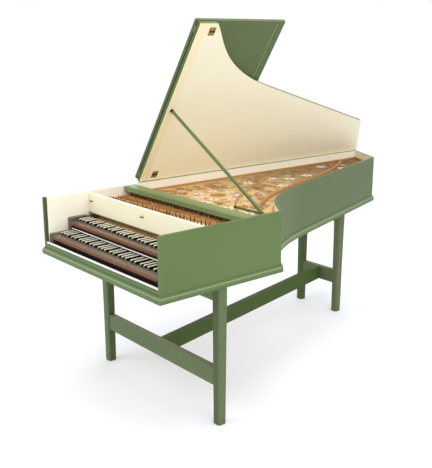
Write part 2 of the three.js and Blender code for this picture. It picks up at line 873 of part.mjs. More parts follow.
// The lid's leaf climbs the lid's edge and lies on its outer face.
function lidHingeLeaf(y) {
  const y0 = y - spineHingeWidth / 2;
  const y1 = y + spineHingeWidth / 2;
  const length = spineHingeWidth / knuckleCount;
  const outer = lidTop + seat + leafThickness;
  const low = lidHinge.z + hingeKnuckle + seat;
  const upright = solidOf(block(-seat - leafThickness, -seat, y0, y1, low, outer));
  const flat = solidOf(block(-seat - leafThickness, lidLeafReach, y0, y1, lidTop + seat, outer));
  const web = solidOf(block(
    -seat - leafThickness, -seat,
    y0 + length + seat / 2, y0 + 2 * length - seat / 2,
    lidHinge.z, low + seat,
  ));
  const rolled = knuckles(lidHinge.x, lidHinge.z, y0, spineHingeWidth, hingeKnuckle, true);
  return geometryOf(upright.add(flat).add(web).add(rolled));
}

// Height of the flap's hinge pin over the shut lid, and of the flap folded back on it.
const flapPinZ = lidTop + flapHingeRise;
const foldedFlapBottom = 2 * flapPinZ - lidBottom - flapThickness;

function flap() {
  return block(0, caseWidth, flapLength + seat, 2 * flapLength, foldedFlapBottom, foldedFlapBottom + flapThickness);
}

// The strap lies on the lid's outer face and is bolted through to a plate on its inside.
function flapHingeLidLeaf(x) {
  const x0 = x - flapHingeWidth / 2;
  const turned = knucklesAlongX(x, flapLength, flapPinZ, false);
  const strapBottom = lidTop + seat;
  let leaf = solidOf(block(
    x0, x0 + flapHingeWidth,
    flapLength + flapKnuckle, flapLength + flapStrapLength,
    strapBottom, strapBottom + leafThickness,
  ));
  const length = flapHingeWidth / knuckleCount;
  for (const k of [0, 2]) {
    leaf = leaf.add(solidOf(block(
      x0 + k * length + (k > 0 ? seat / 2 : 0), x0 + (k + 1) * length - (k < knuckleCount - 1 ? seat / 2 : 0),
      flapLength, flapLength + 2 * flapKnuckle,
      strapBottom, strapBottom + leafThickness,
    )));
  }
  for (const side of [-1, 1]) {
    const y = bossPlateY + side * boltSpacing / 2;
    leaf = leaf.add(solidOf(rod(
      boltRadius,
      [x, y, lidBottom - seat - bossPlate.thickness / 2],
      [x, y, strapBottom + leafThickness / 2],
      12,
    )));
  }
  const inside = block(
    x - bossPlate.width / 2, x + bossPlate.width / 2,
    bossPlateY - bossPlate.length / 2, bossPlateY + bossPlate.length / 2,
    lidBottom - seat - bossPlate.thickness, lidBottom - seat,
  );
  return geometryOf(leaf.add(turned).add(solidOf(inside)));
}

function flapHingeFlapLeaf(x) {
  const x0 = x - flapHingeWidth / 2;
  const top = foldedFlapBottom - seat;
  const leaf = solidOf(block(
    x0, x0 + flapHingeWidth,
    flapLength + flapKnuckle + seat, flapLength + flapLeafLength,
    top - leafThickness, top,
  ));
  const length = flapHingeWidth / knuckleCount;
  const web = solidOf(block(
    x0 + length + seat / 2, x0 + 2 * length - seat / 2,
    flapLength, flapLength + 2 * flapKnuckle,
    top - leafThickness, top,
  ));
  return geometryOf(leaf.add(web).add(knucklesAlongX(x, flapLength, flapPinZ, true)));
}

function knucklesAlongX(x, y, z, odd) {
  const x0 = x - flapHingeWidth / 2;
  const length = flapHingeWidth / knuckleCount;
  const parts = [];
  for (let k = odd ? 1 : 0; k < knuckleCount; k += 2) {
    const start = x0 + k * length + (k > 0 ? seat / 2 : 0);
    const end = x0 + (k + 1) * length - (k < knuckleCount - 1 ? seat / 2 : 0);
    parts.push(solidOf(rod(flapKnuckle, [start, y, z], [end, y, z], 16)));
  }
  return parts.reduce((all, next) => all.add(next));
}

// A plate on the cheek's inside carries the long stick's ball and the short stick's pin.
function propBracket() {
  const { x, y, z } = propPivot;
  const plateLeft = innerRight - bracketThickness;
  const back = bracketFront + bracketLength;
  const armFront = shortPropY + shortPropWidth / 2 + seat;
  const base = block(plateLeft, innerRight, bracketFront, back, z - bracketDrop, rimHeight - seat);
  const neck = rod(propNeckRadius, [x, y, z], [plateLeft + bracketThickness / 2, y, z]);
  const arm = block(
    x - shortPropWidth / 2, plateLeft + bracketThickness / 2,
    armFront, armFront + bracketArm,
    z - shortPropWidth / 2, z + shortPropWidth / 2,
  );
  const pinFront = shortPropY - shortPropWidth / 2;
  const pin = rod(shortPropPin, [x, pinFront, z], [x, armFront + bracketArm / 2, z]);
  return geometryOf(
    solidOf(base).add(solidOf(neck)).add(solidOf(ball(propBall, x, y, z))).add(solidOf(arm)).add(solidOf(pin)),
  );
}

// The long stick is drawn along +X from its ball and turned up to the lid.
function propStick() {
  const half = propWidth / 2;
  const length = propReach();
  const stick = solidOf(block(seat, length, -half, half, -half, half));
  const peg = solidOf(rod(propPegRadius, [length - overrun, 0, 0], [length + propPegLength, 0, 0]));
  return geometryOf(stick.add(peg).subtract(solidOf(ball(propBall + seat, 0, 0, 0))));
}

function shortProp() {
  const half = shortPropWidth / 2;
  const { x, z } = propPivot;
  const stick = solidOf(block(x - shortPropLength, x + half, shortPropY - half, shortPropY + half, z - half, z + half));
  const hole = rod(
    shortPropPin + seat,
    [x, shortPropY - half - overrun, z],
    [x, shortPropY + half + overrun, z],
  );
  return geometryOf(stick.subtract(solidOf(hole)));
}

function mesh(name, geometry, material) {
  const piece = new THREE.Mesh(geometry, material);
  piece.name = name;
  return piece;
}

const harpsichord = new THREE.Group();

// Case
harpsichord.add(
  mesh("spine", linedWall(spineEdge, spineEdge), greenPaint),
  mesh("cheek", plate(wallPlan(1, 1), caseBottom, rimHeight), greenPaint),
  mesh("bentside", linedWall(firstBentEdge, tailEdge - 1), greenPaint),
  mesh("tail", linedWall(tailEdge, tailEdge), greenPaint),
  mesh("bottom_board", plate(insetPlan(wall + seat), caseBottom, bottomTop), plainWood),
  mesh("base_moulding", baseMoulding(), greenPaint),
  mesh("front_rail", block(innerLeft, innerRight, 0, wall, caseBottom, frontRailTop), greenPaint),
  mesh(
    "front_rail_cap",
    block(
      innerLeft, innerRight,
      (wall - frontCapDepth) / 2, (wall + frontCapDepth) / 2,
      frontRailTop + seat, frontRailTop + seat + frontCapThickness,
    ),
    creamPaint,
  ),
  mesh("nameboard", nameboard(), creamPaint),
  mesh(
    "wrest_plank",
    block(
      innerLeft, innerRight,
      nameboardFront + nameboardThickness + seat, plankBack,
      plankTop - plankThickness, plankTop,
    ),
    plainWood,
  ),
  mesh(
    "belly_rail",
    block(
      innerLeft, innerRight,
      bellyRailFront, bellyRailFront + bellyRailThickness,
      soundboardTop - soundboardThickness - seat - bellyRailDepth, soundboardTop - soundboardThickness - seat,
    ),
    plainWood,
  ),
  mesh(
    "soundboard",
    plate(soundboardPlan(wall + seat), soundboardTop - soundboardThickness, soundboardTop),
    soundboardWood,
  ),
  mesh("soundboard_trim", soundboardTrim(), plainWood),
  mesh("bridge_8ft", curvedBar(bridge8Shares.map(onSoundboard), bridge8, soundboardTop + seat), plainWood),
  mesh("bridge_4ft", curvedBar(bridge4Shares.map(onSoundboard), bridge4, soundboardTop + seat), plainWood),
  mesh("nut_8ft", notchedNut(nut8Shares, nut8), plainWood),
  mesh("nut_4ft", notchedNut(nut4Shares, nut4), plainWood),
  mesh("jack_rail", jackRail(), greenPaint),
);

// Action
registerNames.forEach((name, i) => {
  const y = plankBack + registerGap + i * registerSpacing;
  harpsichord.add(mesh(`register_${name}`, register(y), plainWood));
  harpsichord.add(mesh(`stop_lever_${name}`, stopLever(leverXs()[name], y), brass));
});

// Keyboards
harpsichord.add(
  mesh("lower_key_frame", lowerKeyFrame(), ebony),
  mesh("upper_key_frame", upperKeyFrame(), ebony),
  mesh(
    "manual_batten",
    block(innerLeft, innerRight, battenFront, battenFront + battenDepth, lowerBlockTop + seat, battenTop),
    creamPaint,
  ),
);
for (const manual of [lowerManual, upperManual]) {
  const lastSingle = firstSingleKey + singleKeys.length - 1;
  harpsichord.add(mesh(`${manual.name}_keys_bass`, keyGang(manual, 0, firstSingleKey - 1), ebony));
  singleKeys.forEach((name, i) => {
    harpsichord.add(mesh(`${manual.name}_key_${name}`, geometryOf(keySolid(manual, firstSingleKey + i)), ebony));
  });
  harpsichord.add(mesh(`${manual.name}_keys_treble`, keyGang(manual, lastSingle + 1, keyCount - 1), ebony));
}

// Stand
const frontLegXs = [frontLegInset, caseWidth - frontLegInset];
const rearLegXs = [rearLegSpineX, bentsideX(rearLegY) - rearLegBentsideInset];
for (const [row, xs, y] of [["front", frontLegXs, frontLegY], ["rear", rearLegXs, rearLegY]]) {
  harpsichord.add(
    mesh(`leg_${row}_spine_side`, leg(xs[0], y), greenPaint),
    mesh(`leg_${row}_cheek_side`, leg(xs[1], y), greenPaint),
    mesh(`top_rail_${row}`, crossBoard(xs, y, caseBottom - railDepth, caseBottom, railThickness), greenPaint),
    mesh(`stretcher_${row}`, crossBoard(xs, y, stretcherBottom, stretcherTop, stretcherThickness), greenPaint),
  );
}
harpsichord.add(mesh("stretcher_long", longStretcher(frontLegXs, rearLegXs), greenPaint));

// Lid, flap and hinges, drawn shut and turned open together about the spine hinges
const lidGroup = new THREE.Group();
lidGroup.position.set(lidHinge.x, 0, lidHinge.z);
lidGroup.rotation.y = -lidOpenAngle;
const shutLid = new THREE.Group();
shutLid.position.set(-lidHinge.x, 0, -lidHinge.z);
lidGroup.add(shutLid);
harpsichord.add(lidGroup);
shutLid.add(
  mesh("lid", lid(), creamPaint),
  mesh("lid_flap", flap(), creamPaint),
  mesh("lid_socket", lidSocketRing(), brass),
);
spineHingeYs.forEach((y, i) => {
  const name = ["front", "rear"][i];
  harpsichord.add(mesh(`case_hinge_leaf_${name}`, caseHingeLeaf(y), brass));
  shutLid.add(mesh(`lid_hinge_leaf_${name}`, lidHingeLeaf(y), brass));
});
flapHingeXs.forEach((x, i) => {
  const name = ["spine_side", "cheek_side"][i];
  shutLid.add(mesh(`flap_hinge_strap_${name}`, flapHingeLidLeaf(x), brass));
  shutLid.add(mesh(`flap_hinge_leaf_${name}`, flapHingeFlapLeaf(x), brass));
});

// Sticks
const stick = mesh("prop_stick", propStick(), greenPaint);
stick.position.set(propPivot.x, propPivot.y, propPivot.z);
stick.rotation.y = Math.PI + propRaised;
harpsichord.add(stick, mesh("prop_bracket", propBracket(), brass), mesh("short_prop", shortProp(), greenPaint));

// The origin is on the floor, under the middle of the whole instrument with its lid up.
const bounds = new THREE.Box3().setFromObject(harpsichord, true);
const middle = bounds.getCenter(new THREE.Vector3());
harpsichord.position.set(-middle.x, -middle.y, -bounds.min.z);
harpsichord.updateMatrixWorld(true);

export default harpsichord;
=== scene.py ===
# The harpsichord's paints, woods, keys, strings and painted soundboard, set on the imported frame
import functools
import math
import random

import bmesh
import bpy
from mathutils import Matrix, Vector


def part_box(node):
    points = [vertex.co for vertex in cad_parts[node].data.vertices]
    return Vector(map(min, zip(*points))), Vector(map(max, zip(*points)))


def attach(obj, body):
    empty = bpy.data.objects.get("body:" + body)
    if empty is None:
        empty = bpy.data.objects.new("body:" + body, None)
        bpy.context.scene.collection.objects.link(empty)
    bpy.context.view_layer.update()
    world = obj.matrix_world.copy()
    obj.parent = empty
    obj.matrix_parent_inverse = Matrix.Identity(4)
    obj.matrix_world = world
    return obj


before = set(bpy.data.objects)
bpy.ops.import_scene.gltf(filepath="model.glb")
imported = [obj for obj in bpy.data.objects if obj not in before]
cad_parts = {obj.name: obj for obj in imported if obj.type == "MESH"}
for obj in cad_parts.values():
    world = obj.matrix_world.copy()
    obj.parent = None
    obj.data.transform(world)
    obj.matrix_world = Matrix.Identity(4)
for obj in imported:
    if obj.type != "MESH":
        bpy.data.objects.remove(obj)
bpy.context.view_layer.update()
bpy.context.scene.view_settings.view_transform = "Standard"

# Places in metres, taken from the frame or chosen to fit it
LEFT, FRONT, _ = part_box("spine")[0]
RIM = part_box("spine")[1][2]
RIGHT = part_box("cheek")[1][0]
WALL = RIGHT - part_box("cheek")[0][0]
INNER_LEFT = LEFT + WALL
INNER_RIGHT = RIGHT - WALL
NAMEBOARD_LOW, NAMEBOARD_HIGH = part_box("nameboard")
PLANK_LOW, PLANK_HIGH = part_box("wrest_plank")
BOARD_LOW, BOARD_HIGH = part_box("soundboard")
RAIL_LOW, RAIL_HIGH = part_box("jack_rail")
LID_LEAN = math.radians(56.9)
LID_BOTTOM = RIM + 0.0003
LID_THICKNESS = 0.019
FLAP_BOTTOM = RIM + 0.0263
FLAP_THICKNESS = 0.018
LID_FRONT = FRONT + 0.5493
FLAP_BACK = FRONT + 1.098
HINGE = Vector((LEFT - 0.0038, 0, RIM + 0.00015))
LID_BORDER = 0.045
GREEN_END = 0.016

# Room left between a new piece and the solid that it lies on or beside
HAIR = 0.0001
CLEAR = 0.0002

# The keyboards
NOTES = 61
LOWEST_NOTE = 29
NATURALS = 36
SHARPS = (1, 3, 6, 8, 10)
BESIDE_KEYS = 0.0456
KEYS_LEFT = LEFT + BESIDE_KEYS
KEYS_WIDTH = RIGHT - LEFT - 2 * BESIDE_KEYS
KEY_PITCH = KEYS_WIDTH / NOTES
KEYS_RIGHT = KEYS_LEFT + NOTES * KEY_PITCH
NATURAL_PITCH = KEYS_WIDTH / NATURALS
FIRST_SINGLE_KEY = 31
MANUALS = {
    "lower": {"front": FRONT + 0.020, "top": 0.7265, "cover_back": FRONT + 0.121, "arcade": 0.0135},
    "upper": {"front": FRONT + 0.119, "top": 0.777, "cover_back": FRONT + 0.216, "arcade": 0.0115},
}
COVER = 0.004
HEAD = 0.036
SHARP_RISE = 0.0115

# The photograph's camera, in millimetres from the case's front left corner on the floor
CAMERA_PLACE = (3148.5, -1593.9, 1640.2)
CAMERA_AZIMUTH = 49.82
CAMERA_ELEVATION = 14.9
CAMERA_FOCAL_PIXELS = 749.4
PHOTO_HEIGHT_PIXELS = 468
SENSOR = 36


def at(x, y, z):
    """A point given in millimetres from the case's front left corner, on the floor."""
    return Vector((LEFT + x / 1000, FRONT + y / 1000, z / 1000))


@functools.cache
def box(node):
    """A solid's lowest and highest corner, asked of the frame only once."""
    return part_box(node)


# How deep paint reaches into a board, how wide its soft edges are, and how high up legs are scuffed
PAINT_EDGE = 0.0015
FACE_DEPTH = 0.0008
BAND_FADE = 0.0008
BORDER_FADE = 0.002
SCUFF_HEIGHT = 0.05

# How far behind the case's front the spruce begins to darken, and where it is darkest
DARKENS_FROM = 0.7
DARKEST_AT = 2.0


# Shader building
class Wire:
    """One output of a node. Arithmetic on it adds Math nodes."""

    def __init__(self, paint, socket):
        self.paint = paint
        self.socket = socket

    def math(self, operation, *values):
        return self.paint.node("ShaderNodeMath", {"operation": operation}, dict(enumerate(values)))

    def __add__(self, other):
        return self.math("ADD", self, other)

    def __radd__(self, other):
        return self.math("ADD", other, self)

    def __sub__(self, other):
        return self.math("SUBTRACT", self, other)

    def __rsub__(self, other):
        return self.math("SUBTRACT", other, self)

    def __mul__(self, other):
        return self.math("MULTIPLY", self, other)

    def __rmul__(self, other):
        return self.math("MULTIPLY", other, self)

    def above(self, limit):
        return self.math("GREATER_THAN", self, limit)

    def below(self, limit):
        return self.math("LESS_THAN", self, limit)

    def most(self, other):
        return self.math("MAXIMUM", self, other)

    def fade(self, low, high):
        """0 at the low value, 1 at the high one."""
        inputs = {0: self, 1: low, 2: high}
        return self.paint.node("ShaderNodeMapRange", {"interpolation_type": "SMOOTHSTEP"}, inputs)


class Paint:
    """The nodes of a new material or world, with one method for every node."""

    def __init__(self, name, kind="materials"):
        self.owner = getattr(bpy.data, kind).new(name)
        self.owner.use_nodes = True
        self.tree = self.owner.node_tree
        self.tree.nodes.clear()

    def node(self, kind, settings=None, inputs=None, output=0):
        made = self.tree.nodes.new(kind)
        for key, value in (settings or {}).items():
            setattr(made, key, value)
        for key, value in (inputs or {}).items():
            if isinstance(value, Wire):
                self.tree.links.new(value.socket, made.inputs[key])
            else:
                made.inputs[key].default_value = value
        return Wire(self, made.outputs[output]) if len(made.outputs) else None

    @functools.cached_property
    def place(self):
        """Where a point is on the piece, which is its place in the room at rest."""
        return self.node("ShaderNodeTexCoord", output="Object")

    def axes(self):
        outputs = self.node("ShaderNodeSeparateXYZ", inputs={0: self.place}).socket.node.outputs
        return [Wire(self, output) for output in outputs]

    def looking(self, x, y, z):
        """How far a face looks one way. It is less than 0 for a face that looks away."""
        inputs = {0: self.node("ShaderNodeTexCoord", output="Normal"), 1: (x, y, z)}
        return self.node("ShaderNodeVectorMath", {"operation": "DOT_PRODUCT"}, inputs, output="Value")

    def mix(self, share, first, second):
        return self.node("ShaderNodeMix", {"data_type": "RGBA"}, {0: share, 6: first, 7: second}, output=2)

    def noise(self, scale, detail, stretch=(1, 1, 1), roughness=0.5):
        moved = self.node("ShaderNodeMapping", inputs={0: self.place, 3: stretch})
        inputs = {"Vector": moved, "Scale": scale, "Detail": detail, "Roughness": roughness}
        return self.node("ShaderNodeTexNoise", inputs=inputs)

    def bump(self, height, strength, distance):
        inputs = {"Height": height, "Strength": strength, "Distance": distance}
        return self.node("ShaderNodeBump", inputs=inputs, output="Normal")

    def finish(self, color, roughness, normal, fixed=None):
        inputs = {"Base Color": color, "Roughness": roughness, "Normal": normal, **(fixed or {})}
        shader = self.node("ShaderNodeBsdfPrincipled", inputs=inputs)
        self.node("ShaderNodeOutputMaterial", inputs={0: shader})
        return self.owner


def rgb(red, green, blue):
    """A colour as seen on screen, 0 to 255, turned into the linear values that shaders take."""
    shares = [value / 255 for value in (red, green, blue)]
    linear = [share / 12.92 if share <= 0.04045 else ((share + 0.055) / 1.055) ** 2.4 for share in shares]
    return (*linear, 1.0)


# Colours
GREEN = (rgb(86, 107, 56), rgb(99, 120, 69))
CREAM = (rgb(246, 240, 218), rgb(253, 250, 236))
NAMEBOARD_CREAM = (rgb(238, 230, 198), rgb(245, 238, 210))
# A darker copy of the green: painted shade on the bentside, the tail and the flap
SHADE_PAINTED_GREEN = (rgb(80, 96, 52), rgb(92, 108, 64))
SHADED_GREEN = (rgb(66, 84, 42), rgb(80, 98, 54))
STAND_GREEN = (rgb(90, 103, 69), rgb(104, 117, 83))
SCUFF = rgb(86, 80, 58)
# A lighter green: painted highlight on the base moulding's upper slope
SLOPE_HIGHLIGHT_GREEN = rgb(150, 166, 128)
# A lighter copy of the green: painted highlight on the jack rail, its mouldings and the flap bead
HIGHLIGHT_GREEN = (rgb(112, 130, 80), rgb(130, 148, 98))
LID_CREAM = (rgb(241, 233, 201), rgb(248, 242, 218))
LID_PAINTED_LIGHT_CREAM = rgb(255, 250, 222)
LID_BORDER_CREAM = rgb(244, 226, 172)
WHITE_PAINT = (rgb(246, 245, 238), rgb(253, 252, 248))
SPRUCE = (rgb(224, 182, 120), rgb(252, 222, 160))
TAIL_SPRUCE = (rgb(94, 64, 22), rgb(130, 92, 34))
GOLDEN_WOOD = (rgb(168, 118, 56), rgb(204, 154, 86))
PLANK_WOOD = (rgb(228, 184, 110), rgb(250, 222, 152))
# Brown pear wood, made darker as painted shade under the jack rail
SHADED_REGISTER_WOOD = (rgb(92, 66, 40), rgb(134, 104, 68))
LEVER_WOOD = (rgb(206, 178, 124), rgb(238, 216, 168))
BRIDGE_WOOD = (rgb(160, 110, 52), rgb(198, 146, 80))
BEAD_WOOD = (rgb(78, 62, 36), rgb(116, 96, 58))
ARCADE_WOOD = (rgb(88, 50, 28), rgb(150, 94, 58))
PINE = (rgb(178, 138, 92), rgb(212, 176, 128))
EBONY = (rgb(12, 11, 10), rgb(30, 26, 22))
EBONY_SHEEN_AND_WEAR = (rgb(66, 58, 46), rgb(112, 100, 80))
BLACK_STAIN = (rgb(14, 12, 11), rgb(34, 29, 25))
WORN_STAIN = (rgb(70, 64, 54), rgb(108, 100, 86))
BONE = (rgb(196, 190, 168), rgb(236, 230, 210))
BRASS = (rgb(120, 98, 54), rgb(190, 160, 98))
IRON = (rgb(34, 32, 34), rgb(70, 66, 66))
STRING_BRASS = (rgb(164, 134, 88), rgb(226, 196, 144))
GILT = (rgb(150, 112, 48), rgb(222, 180, 92))
RED_CLOTH = (rgb(128, 48, 34), rgb(186, 82, 58))
ROSE_GROUND = (rgb(112, 72, 40), rgb(146, 100, 58))


def sheen(level):
    return {"Specular IOR Level": level}


def brushed(paint, tones, stretch=(1, 1, 1)):
    """Hand-brushed paint: tones that drift slowly, and faint brush marks."""
    drift = paint.noise(3.0, 2.0)
    marks = paint.noise(160.0, 4.0, stretch)
    return paint.mix(drift * 0.8 + marks * 0.2, *tones), marks


def brush_finish(paint, color, marks, roughness=0.42, level=0.36):
    """Gloss and relief that follow the brush marks."""
    gloss = marks * 0.12 + (roughness - 0.06)
    return paint.finish(color, gloss, paint.bump(marks, 0.14, 0.0005), sheen(level))


def painted(name, tones, *gloss):
    paint = Paint(name)
    return brush_finish(paint, *brushed(paint, tones), *gloss)


def banded_light_and_shade(name, base, *bands):
    """Green paint with level bands, given from a base height, of painted highlight or painted shade."""
    paint = Paint(name)
    color, marks = brushed(paint, GREEN)
    height = paint.axes()[2]
    for bottom, top, tone, share in bands:
        low, high = base + bottom, base + top
        over_low = height.fade(low - BAND_FADE, low + BAND_FADE)
        under_high = height.fade(high + BAND_FADE, high - BAND_FADE)
        color = paint.mix(over_low * under_high * share, color, tone)
    return brush_finish(paint, color, marks)


def painted_leg(name, tones, painted_shade_side=None):
    """Green paint with dark knocks, scuffs near the floor, and painted shade on one side when a side is
    given.
    """
    paint = Paint(name)
    color, marks = brushed(paint, tones, stretch=(1, 1, 0.2))
    if painted_shade_side:
        # Painted shade on the given side
        color = paint.mix(paint.looking(*painted_shade_side).above(0.8) * 0.6, color, SHADED_GREEN[0])
    scuffs = paint.noise(90.0, 5.0).above(0.6) * paint.axes()[2].below(SCUFF_HEIGHT)
    knocks = paint.noise(70.0, 5.0).above(0.64) * 0.45
    color = paint.mix(knocks, color, SHADED_GREEN[0])
    color = paint.mix(scuffs, color, SCUFF)
    return paint.finish(color, 0.5, paint.bump(marks, 0.14, 0.0005), sheen(0.2))


def two_tone(name, cream_mask, cream_tones=CREAM, green_tones=GREEN):
    """Green paint outside and on the edges, cream where the mask of a board's own place says so."""
    paint = Paint(name)
    green, marks = brushed(paint, green_tones)
    cream, _ = brushed(paint, cream_tones)
    if cream_mask is inside_lid:
        # Painted light: lighter cream low on the lid, by the hinges
        cream = paint.mix(lid_painted_light(paint) * 0.9, cream, LID_PAINTED_LIGHT_CREAM)
        cream = paint.mix(lid_border(paint) * 0.5, cream, LID_BORDER_CREAM)
    if cream_mask in (inside_lid, inside_flap):
        # Painted shade on the end faces of the lid and the flap
        green = paint.mix(shaded_end_faces(paint) * 0.7, green, SHADED_GREEN[0])
    if cream_mask is inside_spine:
        # Painted shade on the green border at the spine's front end
        green = paint.mix(paint.axes()[1].below(FRONT + GREEN_END) * 0.9, green, SHADED_GREEN[0])
    return brush_finish(paint, paint.mix(cream_mask(paint), green, cream), marks)


def below_rim(paint):
    return paint.axes()[2].below(RIM - PAINT_EDGE)


def inside_spine(paint):
    """The inner face and the rim, but for a green border at the front end."""
    x, y, _ = paint.axes()
    return x.above(LEFT + PAINT_EDGE) * y.above(FRONT + GREEN_END)


def inside_cheek(paint):
    """The inner face, but for the rim and a green border at the front end."""
    x, y, _ = paint.axes()
    return x.below(INNER_RIGHT + 0.001) * y.above(FRONT + GREEN_END) * below_rim(paint)


def inside_curve(paint):
    """The faces of the bentside and the tail that look into the case."""
    return paint.looking(1, 0.7, 0).below(-0.1) * below_rim(paint)


def shaded_end_faces(paint):
    """The end faces of the lid and the flap, which get painted shade."""
    return paint.looking(0, 1, 0).below(-0.9)


def height_over_lid(paint):
    """How far a point lies over the lid's inner face, square to the open lid."""
    x, _, z = paint.axes()
    across = (z - HINGE.z) * math.cos(LID_LEAN)
    return across - (x - HINGE.x) * math.sin(LID_LEAN)


def inside_lid(paint):
    return height_over_lid(paint).below(FACE_DEPTH)


def up_the_lid(paint):
    """How far a point is from the hinges, along the slope of the open lid."""
    x, _, z = paint.axes()
    return (x - HINGE.x) * math.cos(LID_LEAN) + (z - HINGE.z) * math.sin(LID_LEAN)


def lid_painted_light(paint):
    """Painted light low down on the lid, by the hinges: a lighter cream there."""
    return up_the_lid(paint).fade(0.5, 0.05)


def lid_border(paint):
    """Yellower paint along the lid's front edge and its edge over the cheek."""
    inner, back = RIGHT - HINGE.x - LID_BORDER, LID_FRONT + LID_BORDER
    side = up_the_lid(paint).fade(inner - BORDER_FADE, inner)
    front = paint.axes()[1].fade(back + BORDER_FADE, back)
    return side.most(front)


def inside_flap(paint):
    return height_over_lid(paint).above(FLAP_BOTTOM - HINGE.z + FLAP_THICKNESS - FACE_DEPTH)


def wood(name, tones, along=(14, 1, 14), roughness=0.5, grain_scale=22.0):
    """Bare wood whose grain runs along the axis with the small number."""
    paint = Paint(name)
    grain = paint.noise(grain_scale, 5.0, along, 0.6)
    drift = paint.noise(2.5, 2.0)
    color = paint.mix(grain * 0.7 + drift * 0.3, *tones)
    return paint.finish(color, grain * 0.15 + roughness - 0.07, paint.bump(grain, 0.12, 0.0004))


def spruce_darker_to_tail():
    """Spruce with straight grain along the strings, browner towards the tail."""
    paint = Paint("soundboard_spruce")
    grain = paint.noise(22.0, 5.0, (34, 1, 34), 0.6)
    drift = paint.noise(5.0, 3.0)
    # Darker and browner towards the tail
    towards_tail = paint.axes()[1].fade(FRONT + DARKENS_FROM, FRONT + DARKEST_AT)
    color = paint.mix(grain * 0.7 + drift * 0.3, *SPRUCE)
    color = paint.mix(towards_tail, color, paint.mix(grain, *TAIL_SPRUCE))
    return paint.finish(color, grain * 0.15 + 0.4, paint.bump(grain, 0.12, 0.0004))


def metal(name, tones, roughness=0.36):
    paint = Paint(name)
    spots = paint.noise(110.0, 4.0)
    gloss = spots * 0.2 + roughness - 0.1
    return paint.finish(paint.mix(spots, *tones), gloss, paint.bump(spots, 0.1, 0.0002), {"Metallic": 1.0})


def cloth(name, tones):
    """Felt or listing cloth: fine fibres with no shine."""
    paint = Paint(name)
    fibres = paint.noise(900.0, 5.0, roughness=0.7)
    return paint.finish(paint.mix(fibres, *tones), 0.92, paint.bump(fibres, 0.5, 0.0006))


def key_finish(manual):
    """Ebony covers lighter at the player's end, partly from wear and partly as a painted sheen, sharps with
    bone tops, and lime wood levers.
    """
    paint = Paint(f"{manual}_key_woods")
    place = MANUALS[manual]
    _, y, z = paint.axes()
    grain = paint.noise(60.0, 4.0, (10, 1, 10))
    # The naturals' heads: wear and a painted sheen of reflected light
    head_sheen_and_wear = y.fade(place["front"] + HEAD + 0.004, place["front"] + HEAD)
    ebony = paint.mix(head_sheen_and_wear, paint.mix(grain, *EBONY), paint.mix(grain, *EBONY_SHEEN_AND_WEAR))
    ebony = paint.mix(y.above(place["front"] + 0.0006), paint.mix(grain, *ARCADE_WOOD), ebony)
    bone = paint.mix(grain, *BONE)
    covered = z.above(place["top"] - COVER) * y.below(place["cover_back"] + 0.0005)
    color = paint.mix(covered, paint.mix(grain, *LEVER_WOOD), ebony)
    color = paint.mix(z.above(place["top"] + SHARP_RISE - 0.0022), color, bone)
    return paint.finish(color, grain * 0.15 + 0.22, paint.bump(grain, 0.08, 0.0003))


def key_frame_finish():
    """Black stained wood, worn to brown on the blocks beside the keys."""
    paint = Paint("key_frame_wood")
    x, _, _ = paint.axes()
    grain = paint.noise(40.0, 5.0, (14, 2, 14), 0.6)
    inner = x.above(KEYS_LEFT - 0.001) * x.below(KEYS_RIGHT + 0.001)
    color = paint.mix(inner, paint.mix(grain, *WORN_STAIN), paint.mix(grain, *BLACK_STAIN))
    return paint.finish(color, grain * 0.15 + 0.33, paint.bump(grain, 0.12, 0.0004))


def petal(name, tones):
    """Thin body colour laid on wood, streaked by the brush."""
    paint = Paint(name)
    streaks = paint.noise(160.0, 4.0)
    return paint.finish(paint.mix(streaks, *tones), 0.5, paint.bump(streaks, 0.2, 0.0002))


green = painted("green_paint", GREEN)
# Painted highlight: the lighter green for the jack rail, its mouldings and the flap bead
green_highlight = painted("green_highlight_paint", HIGHLIGHT_GREEN)
cream = painted("cream_paint", CREAM, 0.46)
white_paint = painted("white_paint", WHITE_PAINT, 0.46)
bead_wood = wood("pear_bead", BEAD_WOOD, (1, 10, 10))
arcade_wood = wood("arcade_cherry", ARCADE_WOOD, (6, 6, 6), 0.5, 90.0)
brass = metal("aged_brass", BRASS)
iron = metal("blued_iron", IRON, 0.42)
string_wire = metal("string_wire", STRING_BRASS, 0.3)
gilt = metal("gilt", GILT)
red_cloth = cloth("red_listing_cloth", RED_CLOTH)
key_woods = {manual: key_finish(manual) for manual in MANUALS}


def colored(piece, material):
    """Gives a piece one finish all over."""
    piece.data.materials.clear()
    piece.data.materials.append(material)
    return piece


def dress(material, *nodes):
    """Gives carried-over solids their finish."""
    for name in nodes:
        colored(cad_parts[name], material)


KEY_NODES = ("keys_bass", "key_c", "key_c_sharp", "key_d", "keys_treble")
REGISTERS = ("back_8ft", "front_8ft", "octave_4ft")
HINGE_NODES = [f"{leaf}_hinge_leaf_{row}" for leaf in ("case", "lid") for row in ("front", "rear")]
HINGE_NODES += [f"flap_hinge_{leaf}_{side}_side" for leaf in ("strap", "leaf") for side in ("spine", "cheek")]
# Base moulding: painted shade along its foot, painted highlight on its upper slope, painted shade above that
MOULDING_BANDS = (
    (-0.010, 0.007, SHADED_GREEN[0], 0.4),
    (0.0185, 0.0245, SLOPE_HIGHLIGHT_GREEN, 0.5),
    (0.0245, 0.040, SHADED_GREEN[0], 0.3),
)
